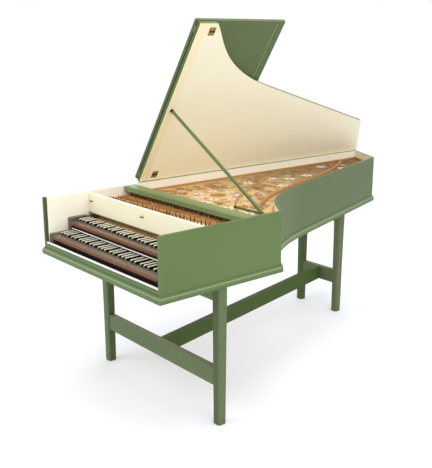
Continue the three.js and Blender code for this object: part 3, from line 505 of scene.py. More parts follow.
# Front rail: painted shade under the cap and in a band lower down
FRONT_RAIL_BANDS = ((-0.007, 0.010, SHADED_GREEN[0], 0.55), (-0.030, -0.016, SHADED_GREEN[0], 0.6))
dress(green, "top_rail_front", "top_rail_rear", "prop_stick", "short_prop")
dress(green_highlight, "jack_rail")
dress(banded_light_and_shade("moulding_paint", box("base_moulding")[0][2], *MOULDING_BANDS), "base_moulding")
dress(banded_light_and_shade("front_rail_paint", box("front_rail")[1][2], *FRONT_RAIL_BANDS), "front_rail")
dress(painted_leg("stretcher_paint", STAND_GREEN), "stretcher_front", "stretcher_rear")
# The long stretcher takes the shaded green, as painted shade under the case
dress(painted("shaded_green_paint", SHADED_GREEN, 0.6, 0.1), "stretcher_long")
dress(painted_leg("green_leg_paint", STAND_GREEN), "leg_rear_cheek_side")
# The rear leg on the spine side takes the shaded green, as painted shade under the case
dress(painted_leg("rear_leg_paint", SHADED_GREEN), "leg_rear_spine_side")
# The front legs: painted shade on one side of each
dress(painted_leg("left_leg_paint", STAND_GREEN, (1, 0, 0)), "leg_front_spine_side")
dress(painted_leg("near_leg_paint", STAND_GREEN, (0, -1, 0)), "leg_front_cheek_side")
dress(painted("nameboard_cream", NAMEBOARD_CREAM), "nameboard")
dress(white_paint, "front_rail_cap")
dress(two_tone("spine_paint", inside_spine), "spine")
dress(two_tone("cheek_paint", inside_cheek), "cheek")
# The bentside, the tail and the flap take the darker green, as painted shade
dress(two_tone("bentside_paint", inside_curve, CREAM, SHADE_PAINTED_GREEN), "bentside")
dress(two_tone("tail_paint", inside_curve, CREAM, SHADE_PAINTED_GREEN), "tail")
dress(two_tone("lid_paint", inside_lid, LID_CREAM), "lid")
dress(two_tone("flap_paint", inside_flap, LID_CREAM, SHADE_PAINTED_GREEN), "lid_flap")
dress(wood("golden_trim", GOLDEN_WOOD, (10, 2, 14)), "soundboard_trim", "belly_rail")
# The registers: pear wood darkened as painted shade under the jack rail
dress(wood("register_pear", SHADED_REGISTER_WOOD, (1, 12, 12)), *[f"register_{choir}" for choir in REGISTERS])
dress(wood("wrest_plank_oak", PLANK_WOOD, (1, 14, 14)), "wrest_plank")
dress(wood("bottom_pine", PINE), "bottom_board")
dress(spruce_darker_to_tail(), "soundboard")
dress(wood("bridge_cherry", BRIDGE_WOOD, (5, 5, 14)), "bridge_8ft", "bridge_4ft", "nut_8ft", "nut_4ft")
dress(key_frame_finish(), "lower_key_frame", "upper_key_frame", "manual_batten")
dress(brass, *[f"stop_lever_{choir}" for choir in REGISTERS])
dress(brass, "lid_socket", "prop_bracket", *HINGE_NODES)
for manual, material in key_woods.items():
    dress(material, *[f"{manual}_{node}" for node in KEY_NODES])


# Modelling by hand
SMOOTH_BELOW = math.radians(35)
BAR_END = 0.004


def select_only(*pieces):
    """Selects these pieces and nothing else. The first becomes the active one."""
    bpy.ops.object.select_all(action="DESELECT")
    for piece in pieces:
        piece.select_set(True)
    bpy.context.view_layer.objects.active = pieces[0]


def add(kind, **settings):
    """Adds one primitive by itself, with its place and size in its mesh."""
    bpy.ops.object.select_all(action="DESELECT")
    getattr(bpy.ops.mesh, f"primitive_{kind}_add")(**settings)
    bpy.ops.object.transform_apply(location=True, rotation=True, scale=True)
    return bpy.context.object


def ring(radius, bead, around, across, **place):
    """A round bead bent to a ring, with so many faces around it and across it."""
    radii = {"major_radius": radius, "minor_radius": bead}
    return add("torus", major_segments=around, minor_segments=across, **radii, **place)


def shape(piece, kind, chosen, *steps):
    """Selects the points or faces that are chosen, and works on them in edit mode."""
    select_only(piece)
    bpy.ops.object.mode_set(mode="EDIT")
    bpy.ops.mesh.select_mode(type=kind)
    bpy.ops.mesh.select_all(action="DESELECT")
    mesh = bmesh.from_edit_mesh(piece.data)
    for part in mesh.faces if kind == "FACE" else mesh.verts:
        part.select_set(bool(chosen(part)))
    mesh.select_flush_mode()
    bmesh.update_edit_mesh(piece.data)
    for step in steps:
        step()
    bpy.ops.object.mode_set(mode="OBJECT")
    return piece


def all_parts(part):
    return True


def facing(x, y, z):
    """Chooses the faces that look one way."""
    way = Vector((x, y, z))
    return lambda face: face.normal.dot(way) > 0.9


def ends_along(axis):
    """Chooses the faces at both ends of an axis."""
    return lambda face: abs(face.normal[axis]) > 0.9


def inset(thickness, depth=0.0):
    return lambda: bpy.ops.mesh.inset(thickness=thickness, depth=depth)


def extrude(x, y, z):
    return lambda: bpy.ops.mesh.extrude_region_move(TRANSFORM_OT_translate={"value": (x, y, z)})


def resize(x, y, z):
    return lambda: bpy.ops.transform.resize(value=(x, y, z))


def slide(x, y, z):
    return lambda: bpy.ops.transform.translate(value=(x, y, z))


def thicken(piece, depth):
    """Gives a sheet its thickness, upwards."""
    return shape(piece, "FACE", all_parts, extrude(0, 0, depth))


def turn_outwards(piece):
    """Makes all the faces point outwards."""
    return shape(piece, "FACE", all_parts, lambda: bpy.ops.mesh.normals_make_consistent(inside=False))


def modify(piece, kind, **settings):
    """Finishes the piece with one modifier, which is applied."""
    modifier = piece.modifiers.new(kind.lower(), kind)
    for key, value in settings.items():
        setattr(modifier, key, value)
    select_only(piece)
    bpy.ops.object.modifier_apply(modifier=modifier.name)
    return piece


def bar(x, y, z, edge, segments=3):
    """A straight piece with rounded edges, given where it starts and ends on each axis."""
    low, high = Vector((x[0], y[0], z[0])), Vector((x[1], y[1], z[1]))
    piece = add("cube", size=1, location=(low + high) / 2, scale=high - low)
    return modify(piece, "BEVEL", width=edge, segments=segments, limit_method="ANGLE")


def join(pieces):
    select_only(*pieces)
    if len(pieces) > 1:
        bpy.ops.object.join()
    return pieces[0]


def repeat(model, places):
    """Copies a finished model to each place and joins the copies. The model itself goes away."""
    copies = []
    for place in places:
        copy = model.copy()
        copy.data = model.data.copy()
        copy.data.transform(place)
        bpy.context.collection.objects.link(copy)
        copies.append(copy)
    bpy.data.objects.remove(model)
    return join(copies)


def move(x, y, z):
    return Matrix.Translation((x, y, z))


def turned(angle, axis="Z"):
    return Matrix.Rotation(angle, 4, axis)


def standing_along(way):
    """Turns a piece that stands upright so that it points the given way."""
    return way.to_track_quat("Z", "Y").to_matrix().to_4x4()


def finished(piece, name, material, body):
    """Names the piece, gives it its finish and makes it ride on its body."""
    piece.name = name
    piece.data.name = name
    if material is not None:
        colored(piece, material)
    select_only(piece)
    bpy.ops.object.shade_smooth_by_angle(angle=SMOOTH_BELOW)
    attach(piece, body)
    return piece


def open_with_lid(piece):
    """Turns a piece drawn on the shut lid up to where the open lid is."""
    piece.data.transform(move(*HINGE) @ turned(-LID_LEAN, "Y") @ move(*-HINGE))
    return piece


@functools.cache
def top_edges(node):
    """The edges round a flat solid's top, as pairs of points."""
    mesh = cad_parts[node].data
    pairs = [[mesh.vertices[i].co.copy() for i in edge.vertices] for edge in mesh.edges]
    top = box(node)[1][2] - HAIR
    return [(a, b) for a, b in pairs if min(a.z, b.z) > top]


def span(node, axis, value):
    """Where a line over a flat solid's top, at one x or one y, enters and leaves it."""
    other = 1 - axis
    crossings = []
    for a, b in top_edges(node):
        if (a[axis] - value) * (b[axis] - value) < 0:
            share = (value - a[axis]) / (b[axis] - a[axis])
            crossings.append(a[other] + share * (b[other] - a[other]))
    return min(crossings), max(crossings)


def within(node, x):
    """The x nearest to the given one that a curved bar still carries."""
    low, high = box(node)
    return min(max(x, low[0] + BAR_END), high[0] - BAR_END)


def middle_of(node, x):
    return sum(span(node, 0, within(node, x))) / 2


# Keyboards
def is_sharp(note):
    return (LOWEST_NOTE + note) % 12 in SHARPS


def note_x(note):
    return KEYS_LEFT + (note + 0.5) * KEY_PITCH


def key_body(manual, note):
    """The body that a note's key belongs to."""
    if note < FIRST_SINGLE_KEY:
        return f"{manual}_keys_bass"
    singles = {FIRST_SINGLE_KEY: "key_c", FIRST_SINGLE_KEY + 1: "key_c_sharp", FIRST_SINGLE_KEY + 2: "key_d"}
    return f"{manual}_{singles.get(note, 'keys_treble')}"


def arcade_model(height):
    """A natural's front: a small panel with a sunk arch under a round moulding."""
    gap, rim, depth = 0.0012, 0.0012, 0.0015
    half, foot = (NATURAL_PITCH - gap) / 2, -height + 0.0022
    panel = bar((-half, half), (-depth, 0), (-height, 0), 0.0003, 1)
    shape(panel, "FACE", facing(0, -1, 0), inset(rim), inset(rim / 2, -rim / 2))
    arches = [panel]
    for radius, bead in ((height * 0.6, 0.0009), (height * 0.36, 0.0007)):
        arch = ring(radius, bead, 16, 5, location=(0, -rim, foot), rotation=(math.pi / 2, 0, 0))
        cut = {"plane_co": (0, 0, foot), "plane_no": (0, 0, 1), "clear_inner": True, "use_fill": True}
        shape(arch, "FACE", all_parts, lambda: bpy.ops.mesh.bisect(**cut))
        arches.append(arch)
    return join(arches)


def key_fronts():
    """An arcade on every natural of both manuals, on the body of its key."""
    naturals = [note for note in range(NOTES) if not is_sharp(note)]
    for manual, place in MANUALS.items():
        groups = {}
        for i, note in enumerate(naturals):
            x = KEYS_LEFT + (i + 0.5) * NATURAL_PITCH
            spot = move(x, place["front"] - CLEAR, place["top"] - COVER - CLEAR)
            groups.setdefault(key_body(manual, note), []).append(spot)
        for body, places in groups.items():
            fronts = repeat(arcade_model(place["arcade"]), places)
            finished(fronts, f"{body}_arcades", arcade_wood, body)


def balance_pins():
    """The pins that the levers tip on, between the covers and the nameboard."""
    behind_covers, sharps_further, rise = 0.008, 0.006, 0.0012
    for manual, place in MANUALS.items():
        pin = add("cylinder", vertices=8, radius=0.0016, depth=0.006)
        shape(pin, "FACE", facing(0, 0, 1), inset(0.0005, 0.0004))
        places = []
        for note in range(NOTES):
            y = place["cover_back"] + behind_covers + is_sharp(note) * sharps_further
            places.append(move(note_x(note), y, place["top"] - COVER + rise))
        pins = repeat(pin, places)
        body = "case" if manual == "lower" else "upper_manual"
        finished(pins, f"{manual}_balance_pins", iron, body)


def nameboard_trims():
    """The wooden bead along the nameboard's foot and the cap along its top."""
    (_, front, bottom), (_, back, top) = NAMEBOARD_LOW, NAMEBOARD_HIGH
    depth, height, cap_height, cap_setback = 0.0035, 0.0065, 0.0022, 0.0005
    x = (INNER_LEFT + 2 * CLEAR, INNER_RIGHT - 2 * CLEAR)
    bead = bar(x, (front - depth, front - HAIR), (bottom + CLEAR, bottom + height), 0.0014)
    finished(bead, "nameboard_bead", bead_wood, "case")
    cap = bar(x, (front + cap_setback, back - cap_setback), (top + HAIR, top + cap_height), 0.0009)
    finished(cap, "nameboard_cap", cream, "case")


def batten_bead():
    """The white bead that stands on the batten between the blocks of the upper manual."""
    (_, front, _), (_, _, top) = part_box("manual_batten")
    depth, height, end_room = 0.0040, 0.0048, 0.001
    x = (KEYS_LEFT + end_room, KEYS_RIGHT - end_room)
    bead = bar(x, (front + 0.0003, front + depth), (top + HAIR, top + height), 0.0012)
    finished(bead, "batten_bead", white_paint, "case")


# Wrest plank and strings

# Around each stop lever: how far it swings, the room it gets and how far aside pins are moved
LEVER_SWING = 0.0044
LEVER_ROOM = 0.0115
PIN_SPREAD = 0.060

# Rows of tuning pins lie between these distances, from the plank's front and from the 8 ft nut
FIRST_PINS = 0.014
LAST_PINS = 0.026

# A coil of wire on its pin, and the place where the string leaves it
COIL_HEIGHT = 0.007
COIL_SIDE = 0.0019

# Each choir: the hitch pins' distance behind the bridge and height over the soundboard, the strings'
# offset from their key, and its two rows of tuning pins. Rows of the 8 ft choirs are shares of the room
# before the 8 ft nut. Those of the 4 ft choir are distances behind it.
EIGHT_FOOT = {"nut": "nut_8ft", "bridge": "bridge_8ft", "radius": 0.00018, "behind": 0.045, "hitch": 0.0105}
FOUR_FOOT = {"nut": "nut_4ft", "bridge": "bridge_4ft", "radius": 0.00014, "behind": 0.028, "hitch": 0.0025}
CHOIRS = {
    "back_8ft": {**EIGHT_FOOT, "offset": -0.0042, "rows": (0, 1 / 3), "pins": iron},
    "front_8ft": {**EIGHT_FOOT, "offset": 0.0042, "rows": (2 / 3, 1), "pins": iron},
    "octave_4ft": {**FOUR_FOOT, "offset": 0.006, "rows": (0.030, 0.052), "pins": string_wire},
}
STOP_LEVERS = [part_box(f"stop_lever_{choir}") for choir in REGISTERS]


def pin_model():
    """A tuning pin: a round shaft, flattened where the tuning key grips it, and its coil of wire."""
    round_height, flat_height, coil_width = 0.018, 0.006, 0.003
    shaft = add("cylinder", vertices=8, radius=0.0020, depth=round_height, location=(0, 0, round_height / 2))
    shape(shaft, "FACE", facing(0, 0, 1), extrude(0, 0, flat_height), resize(0.55, 1.0, 1.0))
    coil = add("cylinder", vertices=8, radius=0.0026, depth=coil_width, location=(0, 0, COIL_HEIGHT))
    shape(coil, "FACE", facing(0, 0, 1), inset(0.0007, 0.0003))
    return join([shaft, coil])


def clear_of_levers(x):
    """Spreads the tuning pins beside each stop lever, so that it can swing between them."""
    for low, high in STOP_LEVERS:
        middle = (low[0] + high[0]) / 2 - LEVER_SWING / 2
        away = x - middle
        if abs(away) < PIN_SPREAD:
            return middle + math.copysign(LEVER_ROOM + abs(away) * (1 - LEVER_ROOM / PIN_SPREAD), away)
    return x


def pin_place(choir, note):
    """Where a note's tuning pin stands. The naturals' pins stand before the sharps' pins."""
    x = clear_of_levers(note_x(note))
    nut = middle_of("nut_8ft", x)
    row = CHOIRS[choir]["rows"][is_sharp(note)]
    if choir == "octave_4ft":
        return Vector((x, nut + row, PLANK_HIGH[2]))
    first, last = PLANK_LOW[1] + FIRST_PINS, nut - LAST_PINS
    return Vector((x, first + row * (last - first), PLANK_HIGH[2]))


def tuning_pins():
    for choir, values in CHOIRS.items():
        places = [move(*pin_place(choir, note)) for note in range(NOTES)]
        pins = repeat(pin_model(), places)
        finished(pins, f"tuning_pins_{choir}", values["pins"], "case")


def cloth_strip():
    """The red cloth woven between the strings behind the 8 ft nut."""
    end_room, behind_nut, before_nut, widest, thickness = 0.012, 0.009, 0.011, 0.078, 0.0022
    start, end = INNER_LEFT + end_room, INNER_RIGHT - end_room
    strip = add("grid", x_subdivisions=24, y_subdivisions=1, size=1)
    for vertex in strip.data.vertices:
        x = start + (vertex.co.x + 0.5) * (end - start)
        front = middle_of("nut_8ft", x) + behind_nut
        back = min(front + widest, middle_of("nut_4ft", x) - before_nut)
        vertex.co = (x, back if vertex.co.y > 0 else front, PLANK_HIGH[2] + 2 * CLEAR)
    turn_outwards(thicken(strip, thickness))
    finished(strip, "listing_cloth", red_cloth, "case")


def rod_to(start, end, radius):
    """Turns a unit rod that stands on the origin so that it reaches from start to end."""
    along = end - start
    return move(*start) @ standing_along(along) @ Matrix.Diagonal((radius, radius, along.length, 1))


def wire_model():
    """A unit length of wire, standing on the origin."""
    wire = add("cylinder", vertices=4, radius=1, depth=1, location=(0, 0, 0.5))
    return shape(wire, "FACE", ends_along(2), resize(0.92, 0.92, 1))


def bridge_pin_model():
    pin = add("cylinder", vertices=6, radius=0.0006, depth=0.004, location=(0, 0, 0.001))
    return shape(pin, "FACE", facing(0, 0, 1), resize(0.6, 0.6, 1))


def over_bar(node, x):
    """Where a string lies on top of a nut or a bridge."""
    return Vector((within(node, x), middle_of(node, x), box(node)[1][2] + 2 * CLEAR))


def strings():
    """Three choirs of strings, each from its tuning pin over the nut and the bridge to its hitch pin."""
    below_string, below_hitch = Vector((0, 0, 0.0014)), Vector((0, 0, 0.0012))
    pins = []
    for choir, values in CHOIRS.items():
        spans = []
        for note in range(NOTES):
            x = note_x(note) + values["offset"]
            on_nut, on_bridge = over_bar(values["nut"], x), over_bar(values["bridge"], x)
            coil = pin_place(choir, note) + Vector((COIL_SIDE, 0, COIL_HEIGHT))
            hitch = Vector((on_bridge.x, on_bridge.y + values["behind"], BOARD_HIGH[2] + values["hitch"]))
            spans += [(coil, on_nut), (on_nut, on_bridge), (on_bridge, hitch)]
            pins += [on_nut - below_string, on_bridge - below_string]
            if choir == "octave_4ft":
                pins.append(hitch - below_hitch)
        wires = repeat(wire_model(), [rod_to(*ends, values["radius"]) for ends in spans])
        finished(wires, f"strings_{choir}", string_wire, "case")
    repeated = repeat(bridge_pin_model(), [move(*place) for place in pins])
    finished(repeated, "bridge_pins", string_wire, "case")


# Jack rail, lid and sticks
def jack_rail_mouldings():
    """A bead on the rail's front, under its top edge, and a raised field on its top."""
    (_, front, _), (_, back, top) = RAIL_LOW, RAIL_HIGH
    room, depth, height, border, rise = 0.0006, 0.0028, 0.006, 0.009, 0.0016
    x = (INNER_LEFT + room, INNER_RIGHT - room)
    bead = bar(x, (front - depth, front - HAIR), (top - height, top - room), 0.0013)
    field = bar(x, (front + border, back - border), (top + HAIR, top + rise), 0.0010)
    for name, piece in (("bead", bead), ("field", field)):
        finished(piece, f"jack_rail_{name}", green_highlight, "jack_rail")


def flap_bead():
    """The bead across the flap's outer face."""
    from_edge, end_room, width, depth = 0.052, 0.012, 0.006, 0.0016
    front = FLAP_BACK - from_edge
    x, z = (LEFT + end_room, RIGHT - end_room), (FLAP_BOTTOM - depth, FLAP_BOTTOM - HAIR)
    bead = open_with_lid(bar(x, (front, front + width), z, 0.0007, 2))
    finished(bead, "flap_bead", green_highlight, "flap")


def spine_fillet():
    """The round fillet along the spine, in lengths between the hinges, that closes the lid's joint."""
    room = 0.0005
    stops = [LID_FRONT + room]
    for row in ("front", "rear"):
        low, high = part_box(f"case_hinge_leaf_{row}")
        stops += [low[1] - room, high[1] + room]
    stops.append(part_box("spine")[1][1] - room)
    lengths = []
    for start, end in zip(stops[::2], stops[1::2]):
        length = add(
            "cylinder", vertices=16, radius=0.0034, depth=end - start,
            location=(HINGE.x, (start + end) / 2, HINGE.z), rotation=(math.pi / 2, 0, 0),
        )
        lengths.append(shape(length, "FACE", ends_along(1), inset(0.0008, 0.0004)))
    finished(join(lengths), "spine_fillet", green, "case")


def screw_model():
    """A countersunk screw head, with its slot."""
    depth = 0.0012
    head = add("cylinder", vertices=12, radius=0.0028, depth=depth)
    shape(head, "FACE", facing(0, 0, 1), resize(0.86, 0.86, 1))
    slot = add("cube", size=1, scale=(0.0062, 0.0007, 0.0009), location=(0, 0, depth / 2))
    modify(head, "BOOLEAN", object=slot, solver="EXACT")
    bpy.data.objects.remove(slot)
    return head


def hinge_screws():
    """Three screws in each leaf of the hinges between the spine and the lid."""
    leaf = 0.0023
    case_face, lid_face = LEFT - leaf - CLEAR, LID_BOTTOM + LID_THICKNESS + leaf + CLEAR
    for row in ("front", "rear"):
        low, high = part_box(f"case_hinge_leaf_{row}")
        front, middle, back = low[1], (low[1] + high[1]) / 2, high[1]
        spots = [(0.030, front + 0.010), (0.020, middle), (0.030, back - 0.010)]
        places = [move(case_face, y, RIM - drop) @ turned(-math.pi / 2, "Y") for drop, y in spots]
        finished(repeat(screw_model(), places), f"case_hinge_screws_{row}", iron, "case")
        spots = [(0.016, front + 0.012), (0.016, back - 0.012), (0.040, middle)]
        places = [move(LEFT + reach, y, lid_face) for reach, y in spots]
        screws = open_with_lid(repeat(screw_model(), places))
        finished(screws, f"lid_hinge_screws_{row}", iron, "lid")


def plate_bolts():
    """Square nuts and washers on the plates inside the lid."""
    plate_thickness, plate_middle, from_side, apart = 0.0025, 0.0827, 0.040, 0.016
    square, height = (-0.0045, 0.0045), 0.0030
    for side, x in (("spine_side", LEFT + from_side), ("cheek_side", RIGHT - from_side)):
        nut = bar(square, square, (-height, -HAIR), 0.0006, 2)
        washer = add("cylinder", vertices=16, radius=0.0062, depth=0.0008, location=(0, 0, -0.0005))
        shape(washer, "FACE", facing(0, 0, -1), resize(0.9, 0.9, 1))
        middle = LID_FRONT + plate_middle
        places = [move(x, middle + step, LID_BOTTOM - plate_thickness) for step in (-apart / 2, apart / 2)]
        bolts = open_with_lid(repeat(join([nut, washer]), places))
        finished(bolts, f"plate_bolts_{side}", iron, "lid")


def stick_fittings():
    """A ferrule at the top of the long stick and one at the tip of the short stick."""
    raised = math.radians(31.4)
    foot = Vector((RIGHT - 0.033, FRONT + 0.579, RIM - 0.013))
    reach = (foot.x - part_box("prop_stick")[0][0] - 0.0021) / math.cos(raised) - 0.006
    along = Vector((-math.cos(raised), 0, math.sin(raised)))
    ferrule = add("cylinder", vertices=24, radius=0.0082, depth=0.008)
    shape(ferrule, "FACE", ends_along(2), inset(0.0012, 0.0006))
    ferrule.data.transform(move(*foot + along * (reach - 0.0055)) @ standing_along(along))
    finished(ferrule, "prop_stick_ferrule", iron, "prop_stick")
    (left, front, bottom), (_, back, top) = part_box("short_prop")
    wall, end, length = 0.0007, 0.0012, 0.012
    y, z = (front - wall, back + wall), (bottom - wall, top + wall)
    cap = bar((left - end, left + length), y, z, 0.0008, 2)
    finished(cap, "short_prop_ferrule", iron, "short_prop")


# Soundboard painting
WHITE = petal("petal_white", (rgb(236, 228, 232), rgb(255, 252, 248)))
LILAC = petal("petal_lilac", (rgb(142, 112, 132), rgb(214, 196, 206)))
RED = petal("petal_red", (rgb(138, 42, 26), rgb(198, 88, 58)))
LEAF = petal("leaf_green", (rgb(84, 92, 34), rgb(138, 136, 56)))
DARK_LEAF = petal("leaf_dark", (rgb(92, 82, 40), rgb(128, 112, 58)))
GOLD = petal("flower_gold", (rgb(206, 158, 62), rgb(238, 204, 112)))
LINE = petal("brush_line", (rgb(118, 56, 30), rgb(160, 88, 50)))
PAINT_DEPTH = 0.00012
PAINT_BASE = BOARD_HIGH[2] + PAINT_DEPTH
ROSE_PLACE = at(330, 800, 0)
ROSE_RADIUS = 0.040


def disc(radius, sides):
    """A thin round of paint."""
    return thicken(add("circle", vertices=sides, radius=radius, fill_type="NGON"), PAINT_DEPTH)


def petal_shape(length, width, reach, sides=10):
    """One thin petal or leaf along X, with its far end drawn out. It starts where the reach says."""
    blade = add("circle", vertices=sides, radius=0.5, fill_type="NGON")
    shape(blade, "VERT", lambda vertex: vertex.co.x > 0.49, slide(0.1, 0, 0))
    blade.data.transform(move(reach + length / 2, 0, 0) @ Matrix.Diagonal((length, width, 1, 1)))
    return thicken(blade, PAINT_DEPTH)


def stalk_shape(bend, half_width):
    """A thin stalk. Its bend and its half width both follow the share of its length."""
    stalk = add("grid", x_subdivisions=8, y_subdivisions=1, size=1)
    for vertex in stalk.data.vertices:
        share = vertex.co.x + 0.5
        x, y, z = bend(share)
        vertex.co = (x, y + math.copysign(half_width(share), vertex.co.y), z)
    return thicken(stalk, PAINT_DEPTH)


def ring_of(blade, count):
    return repeat(blade, [turned(2 * math.pi * i / count) for i in range(count)])


def raised_by(piece, levels):
    piece.data.transform(move(0, 0, levels * PAINT_DEPTH))
    return piece


def blossom(radius, petals, color, heart):
    """An open flower with leaves behind it."""
    leaves = colored(ring_of(petal_shape(radius * 0.9, radius * 0.34, radius * 0.75, 8), 3), LEAF)
    width = 2 * radius * math.sin(math.pi / petals) * 0.62
    crown = ring_of(petal_shape(radius * 0.78, width, radius * 0.22), petals)
    middle = disc(radius * 0.24, 10)
    pieces = [leaves, raised_by(colored(crown, color), 1.5), raised_by(colored(middle, heart), 3)]
    return join(pieces)


def sprig(radius, color, heart):
    """A bud on a curved stalk with a pair of leaves."""
    def bend(share):
        return share * 2.6 * radius, 0.5 * radius * math.sin(share * 2.4), 0

    stalk = stalk_shape(bend, lambda share: 0.05 * radius * (1.4 - share))
    leaves = []
    for angle, reach in ((0.9, 0.9), (-0.6, 1.3)):
        leaf = petal_shape(radius * 0.9, radius * 0.3, 0, 8)
        leaf.data.transform(move(reach * radius, 0.4 * radius, 0) @ turned(angle))
        leaves.append(leaf)
    bud = ring_of(petal_shape(radius * 0.6, radius * 0.36, radius * 0.1), 4)
    middle = disc(radius * 0.16, 8)
    for piece in (bud, middle):
        piece.data.transform(move(*bend(1)))
    parts = [colored(stalk, LEAF), raised_by(colored(join(leaves), LEAF), 1)]
    parts += [raised_by(colored(bud, color), 2), raised_by(colored(middle, heart), 3)]
    return join(parts)


def spray(length, tones_a, tones_b):
    """A bent stem with four pairs of pointed leaves."""
    def bend(share):
        return share * length, 0.22 * length * math.sin(share * math.pi * 0.8), 0

    parts = [colored(stalk_shape(bend, lambda share: 0.012 * length), tones_a)]
    for turn, tones in ((0.75, tones_a), (-0.75, tones_b)):
        leaves = []
        for share in (0.25, 0.5, 0.75, 1.0):
            leaf = petal_shape(length * 0.34, length * 0.12, 0, 8)
            leaf.data.transform(move(*bend(share)) @ turned(turn * (1.2 - share * 0.5)))
            leaves.append(leaf)
        parts.append(raised_by(colored(join(leaves), tones), 1))
    return join(parts)


def clear_of_bridges(x, y, room):
    return all(abs(y - middle_of(node, x)) >= room for node in ("bridge_8ft", "bridge_4ft"))


def on_board(x, y, room):
    end_room, side_room = 0.020 + room, 0.012 + room
    if y < BOARD_LOW[1] + end_room or y > BOARD_HIGH[1] - end_room:
        return False
    left, right = span("soundboard", 1, y)
    return left + side_room < x < right - side_room


def scattered(count, room, reach, taken, seed):
    """Places and turns on bare parts of the soundboard, well apart and with their far ends on it."""
    source = random.Random(seed)
    found = []
    for _ in range(6000):
        if len(found) == count:
            break
        x = source.uniform(BOARD_LOW[0], BOARD_HIGH[0])
        y = source.uniform(BOARD_LOW[1], BOARD_HIGH[1])
        turn = source.uniform(0, 2 * math.pi)
        tip = (x + reach * math.cos(turn), y + reach * math.sin(turn))
        if not (on_board(x, y, room) and on_board(*tip, room) and clear_of_bridges(x, y, room * 0.8)):
            continue
        if any(math.hypot(x - near_x, y - near_y) < room + near_room for near_x, near_y, near_room in taken):
            continue
        taken.append((x, y, room))
        found.append((x, y, turn))
    return found


def painted_flowers():
    """Flowers and buds over the soundboard, with a wreath round the rose."""
    wreath_radius, wreath_count, round_wreath = 0.105, 14, 0.135
    taken = [(ROSE_PLACE.x, ROSE_PLACE.y, round_wreath)]
    kinds = [
        ("white_blossoms", lambda: blossom(0.034, 5, WHITE, RED), 13, 0.040, 0),
        ("lilac_blossoms", lambda: blossom(0.026, 6, LILAC, WHITE), 11, 0.030, 0),
        ("red_blossoms", lambda: blossom(0.027, 5, RED, GOLD), 30, 0.029, 0),
        ("green_sprays", lambda: spray(0.070, LEAF, DARK_LEAF), 80, 0.017, 0.085),
        ("brown_sprays", lambda: spray(0.058, LINE, RED), 80, 0.013, 0.070),
        ("white_sprigs", lambda: sprig(0.013, WHITE, GOLD), 20, 0.012, 0.038),
        ("red_sprigs", lambda: sprig(0.014, RED, GOLD), 90, 0.010, 0.040),
    ]
    for i, (name, model, count, room, reach) in enumerate(kinds):
        spots = scattered(count, room, reach, taken, i)
        places = [move(x, y, PAINT_BASE) @ turned(turn) for x, y, turn in spots]
        finished(repeat(model(), places), f"painted_{name}", None, "case")
    wreath = []
    for i in range(wreath_count):
        angle = 2 * math.pi * i / wreath_count
        place = ROSE_PLACE + Vector((math.cos(angle), math.sin(angle), 0)) * wreath_radius
        wreath.append(move(place.x, place.y, PAINT_BASE) @ turned(angle * 2))
    white = repeat(blossom(0.027, 5, WHITE, RED), wreath[::2])
    lilac = repeat(blossom(0.020, 5, LILAC, RED), wreath[1::2])
    finished(join([white, lilac]), "painted_wreath", None, "case")


def rose():
    """A cast rose of plain interlaced rings, set in the soundboard."""
    x, y, z = ROSE_PLACE.x, ROSE_PLACE.y, BOARD_HIGH[2]
    rings = [ring(ROSE_RADIUS, 0.0022, 48, 8), ring(ROSE_RADIUS * 0.3, 0.0014, 48, 8)]
    lobe = ring(ROSE_RADIUS * 0.33, 0.0013, 24, 6)
    lobe.data.transform(move(ROSE_RADIUS * 0.62, 0, 0))
    rings.append(ring_of(lobe, 8))
    cast = join(rings)
    cast.data.transform(move(x, y, z + 0.0006) @ Matrix.Diagonal((1, 1, 0.6, 1)))
    finished(cast, "rose", gilt, "case")
    ground = add("circle", vertices=40, radius=ROSE_RADIUS, fill_type="NGON", location=(x, y, z + HAIR))
    shape(ground, "FACE", all_parts, extrude(0, 0, PAINT_DEPTH), inset(0.002))
    finished(ground, "rose_ground", petal("rose_ground", ROSE_GROUND), "case")


def scallop_model(radius, width):
    """A half ring, flat side on the X axis."""
    arc = add("grid", x_subdivisions=12, y_subdivisions=1, size=1)
    for vertex in arc.data.vertices:
        angle = math.pi * (vertex.co.x + 0.5)
        reach = radius + (width / 2 if vertex.co.y > 0 else -width / 2)
        vertex.co = (reach * math.cos(angle), reach * math.sin(angle), 0)
    return turn_outwards(thicken(arc, PAINT_DEPTH))


def painted_borders():
    """Scallops along the spine, the bentside and the bridges, as on a painted soundboard of this kind."""
    radius, line, bridge_ends = 0.026, 0.0018, 0.03
    spine_room, bentside_room, bridge_room = 0.010, 0.011, 0.014
    start, spine_end, bentside_end = BOARD_LOW[1] + 0.045, BOARD_HIGH[1] - 0.09, BOARD_HIGH[1] - 0.10
    along_bentside, along_bridge, step = 0.01, 0.004, 2 * radius
    places = []
    y = start
    while y < spine_end:
        places.append(move(span("soundboard", 1, y)[0] + spine_room, y, PAINT_BASE) @ turned(-math.pi / 2))
        y += step
    y = start
    while y < bentside_end:
        right, ahead = span("soundboard", 1, y)[1], span("soundboard", 1, y + along_bentside)[1]
        lean = math.atan2(along_bentside, ahead - right)
        places.append(move(right - bentside_room, y, PAINT_BASE) @ turned(lean))
        y += step * math.sin(lean)
    for node, turn in (("bridge_8ft", math.pi), ("bridge_8ft", 0), ("bridge_4ft", math.pi)):
        (left, _, _), (right, _, _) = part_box(node)
        x = left + bridge_ends
        while x < right - bridge_ends:
            y, ahead = middle_of(node, x), middle_of(node, x + along_bridge)
            lean = math.atan2(ahead - y, along_bridge)
            places.append(move(x, y, PAINT_BASE) @ turned(lean + turn) @ move(0, bridge_room, 0))
            x += step * math.cos(lean)
    arcs = repeat(scallop_model(radius, line), places)
    finished(arcs, "painted_scallops", LINE, "case")


# Floor, light and camera
# How far from the middle the floor begins to fade, and where it is white
FLOOR_FADE = (1.9, 3.2)


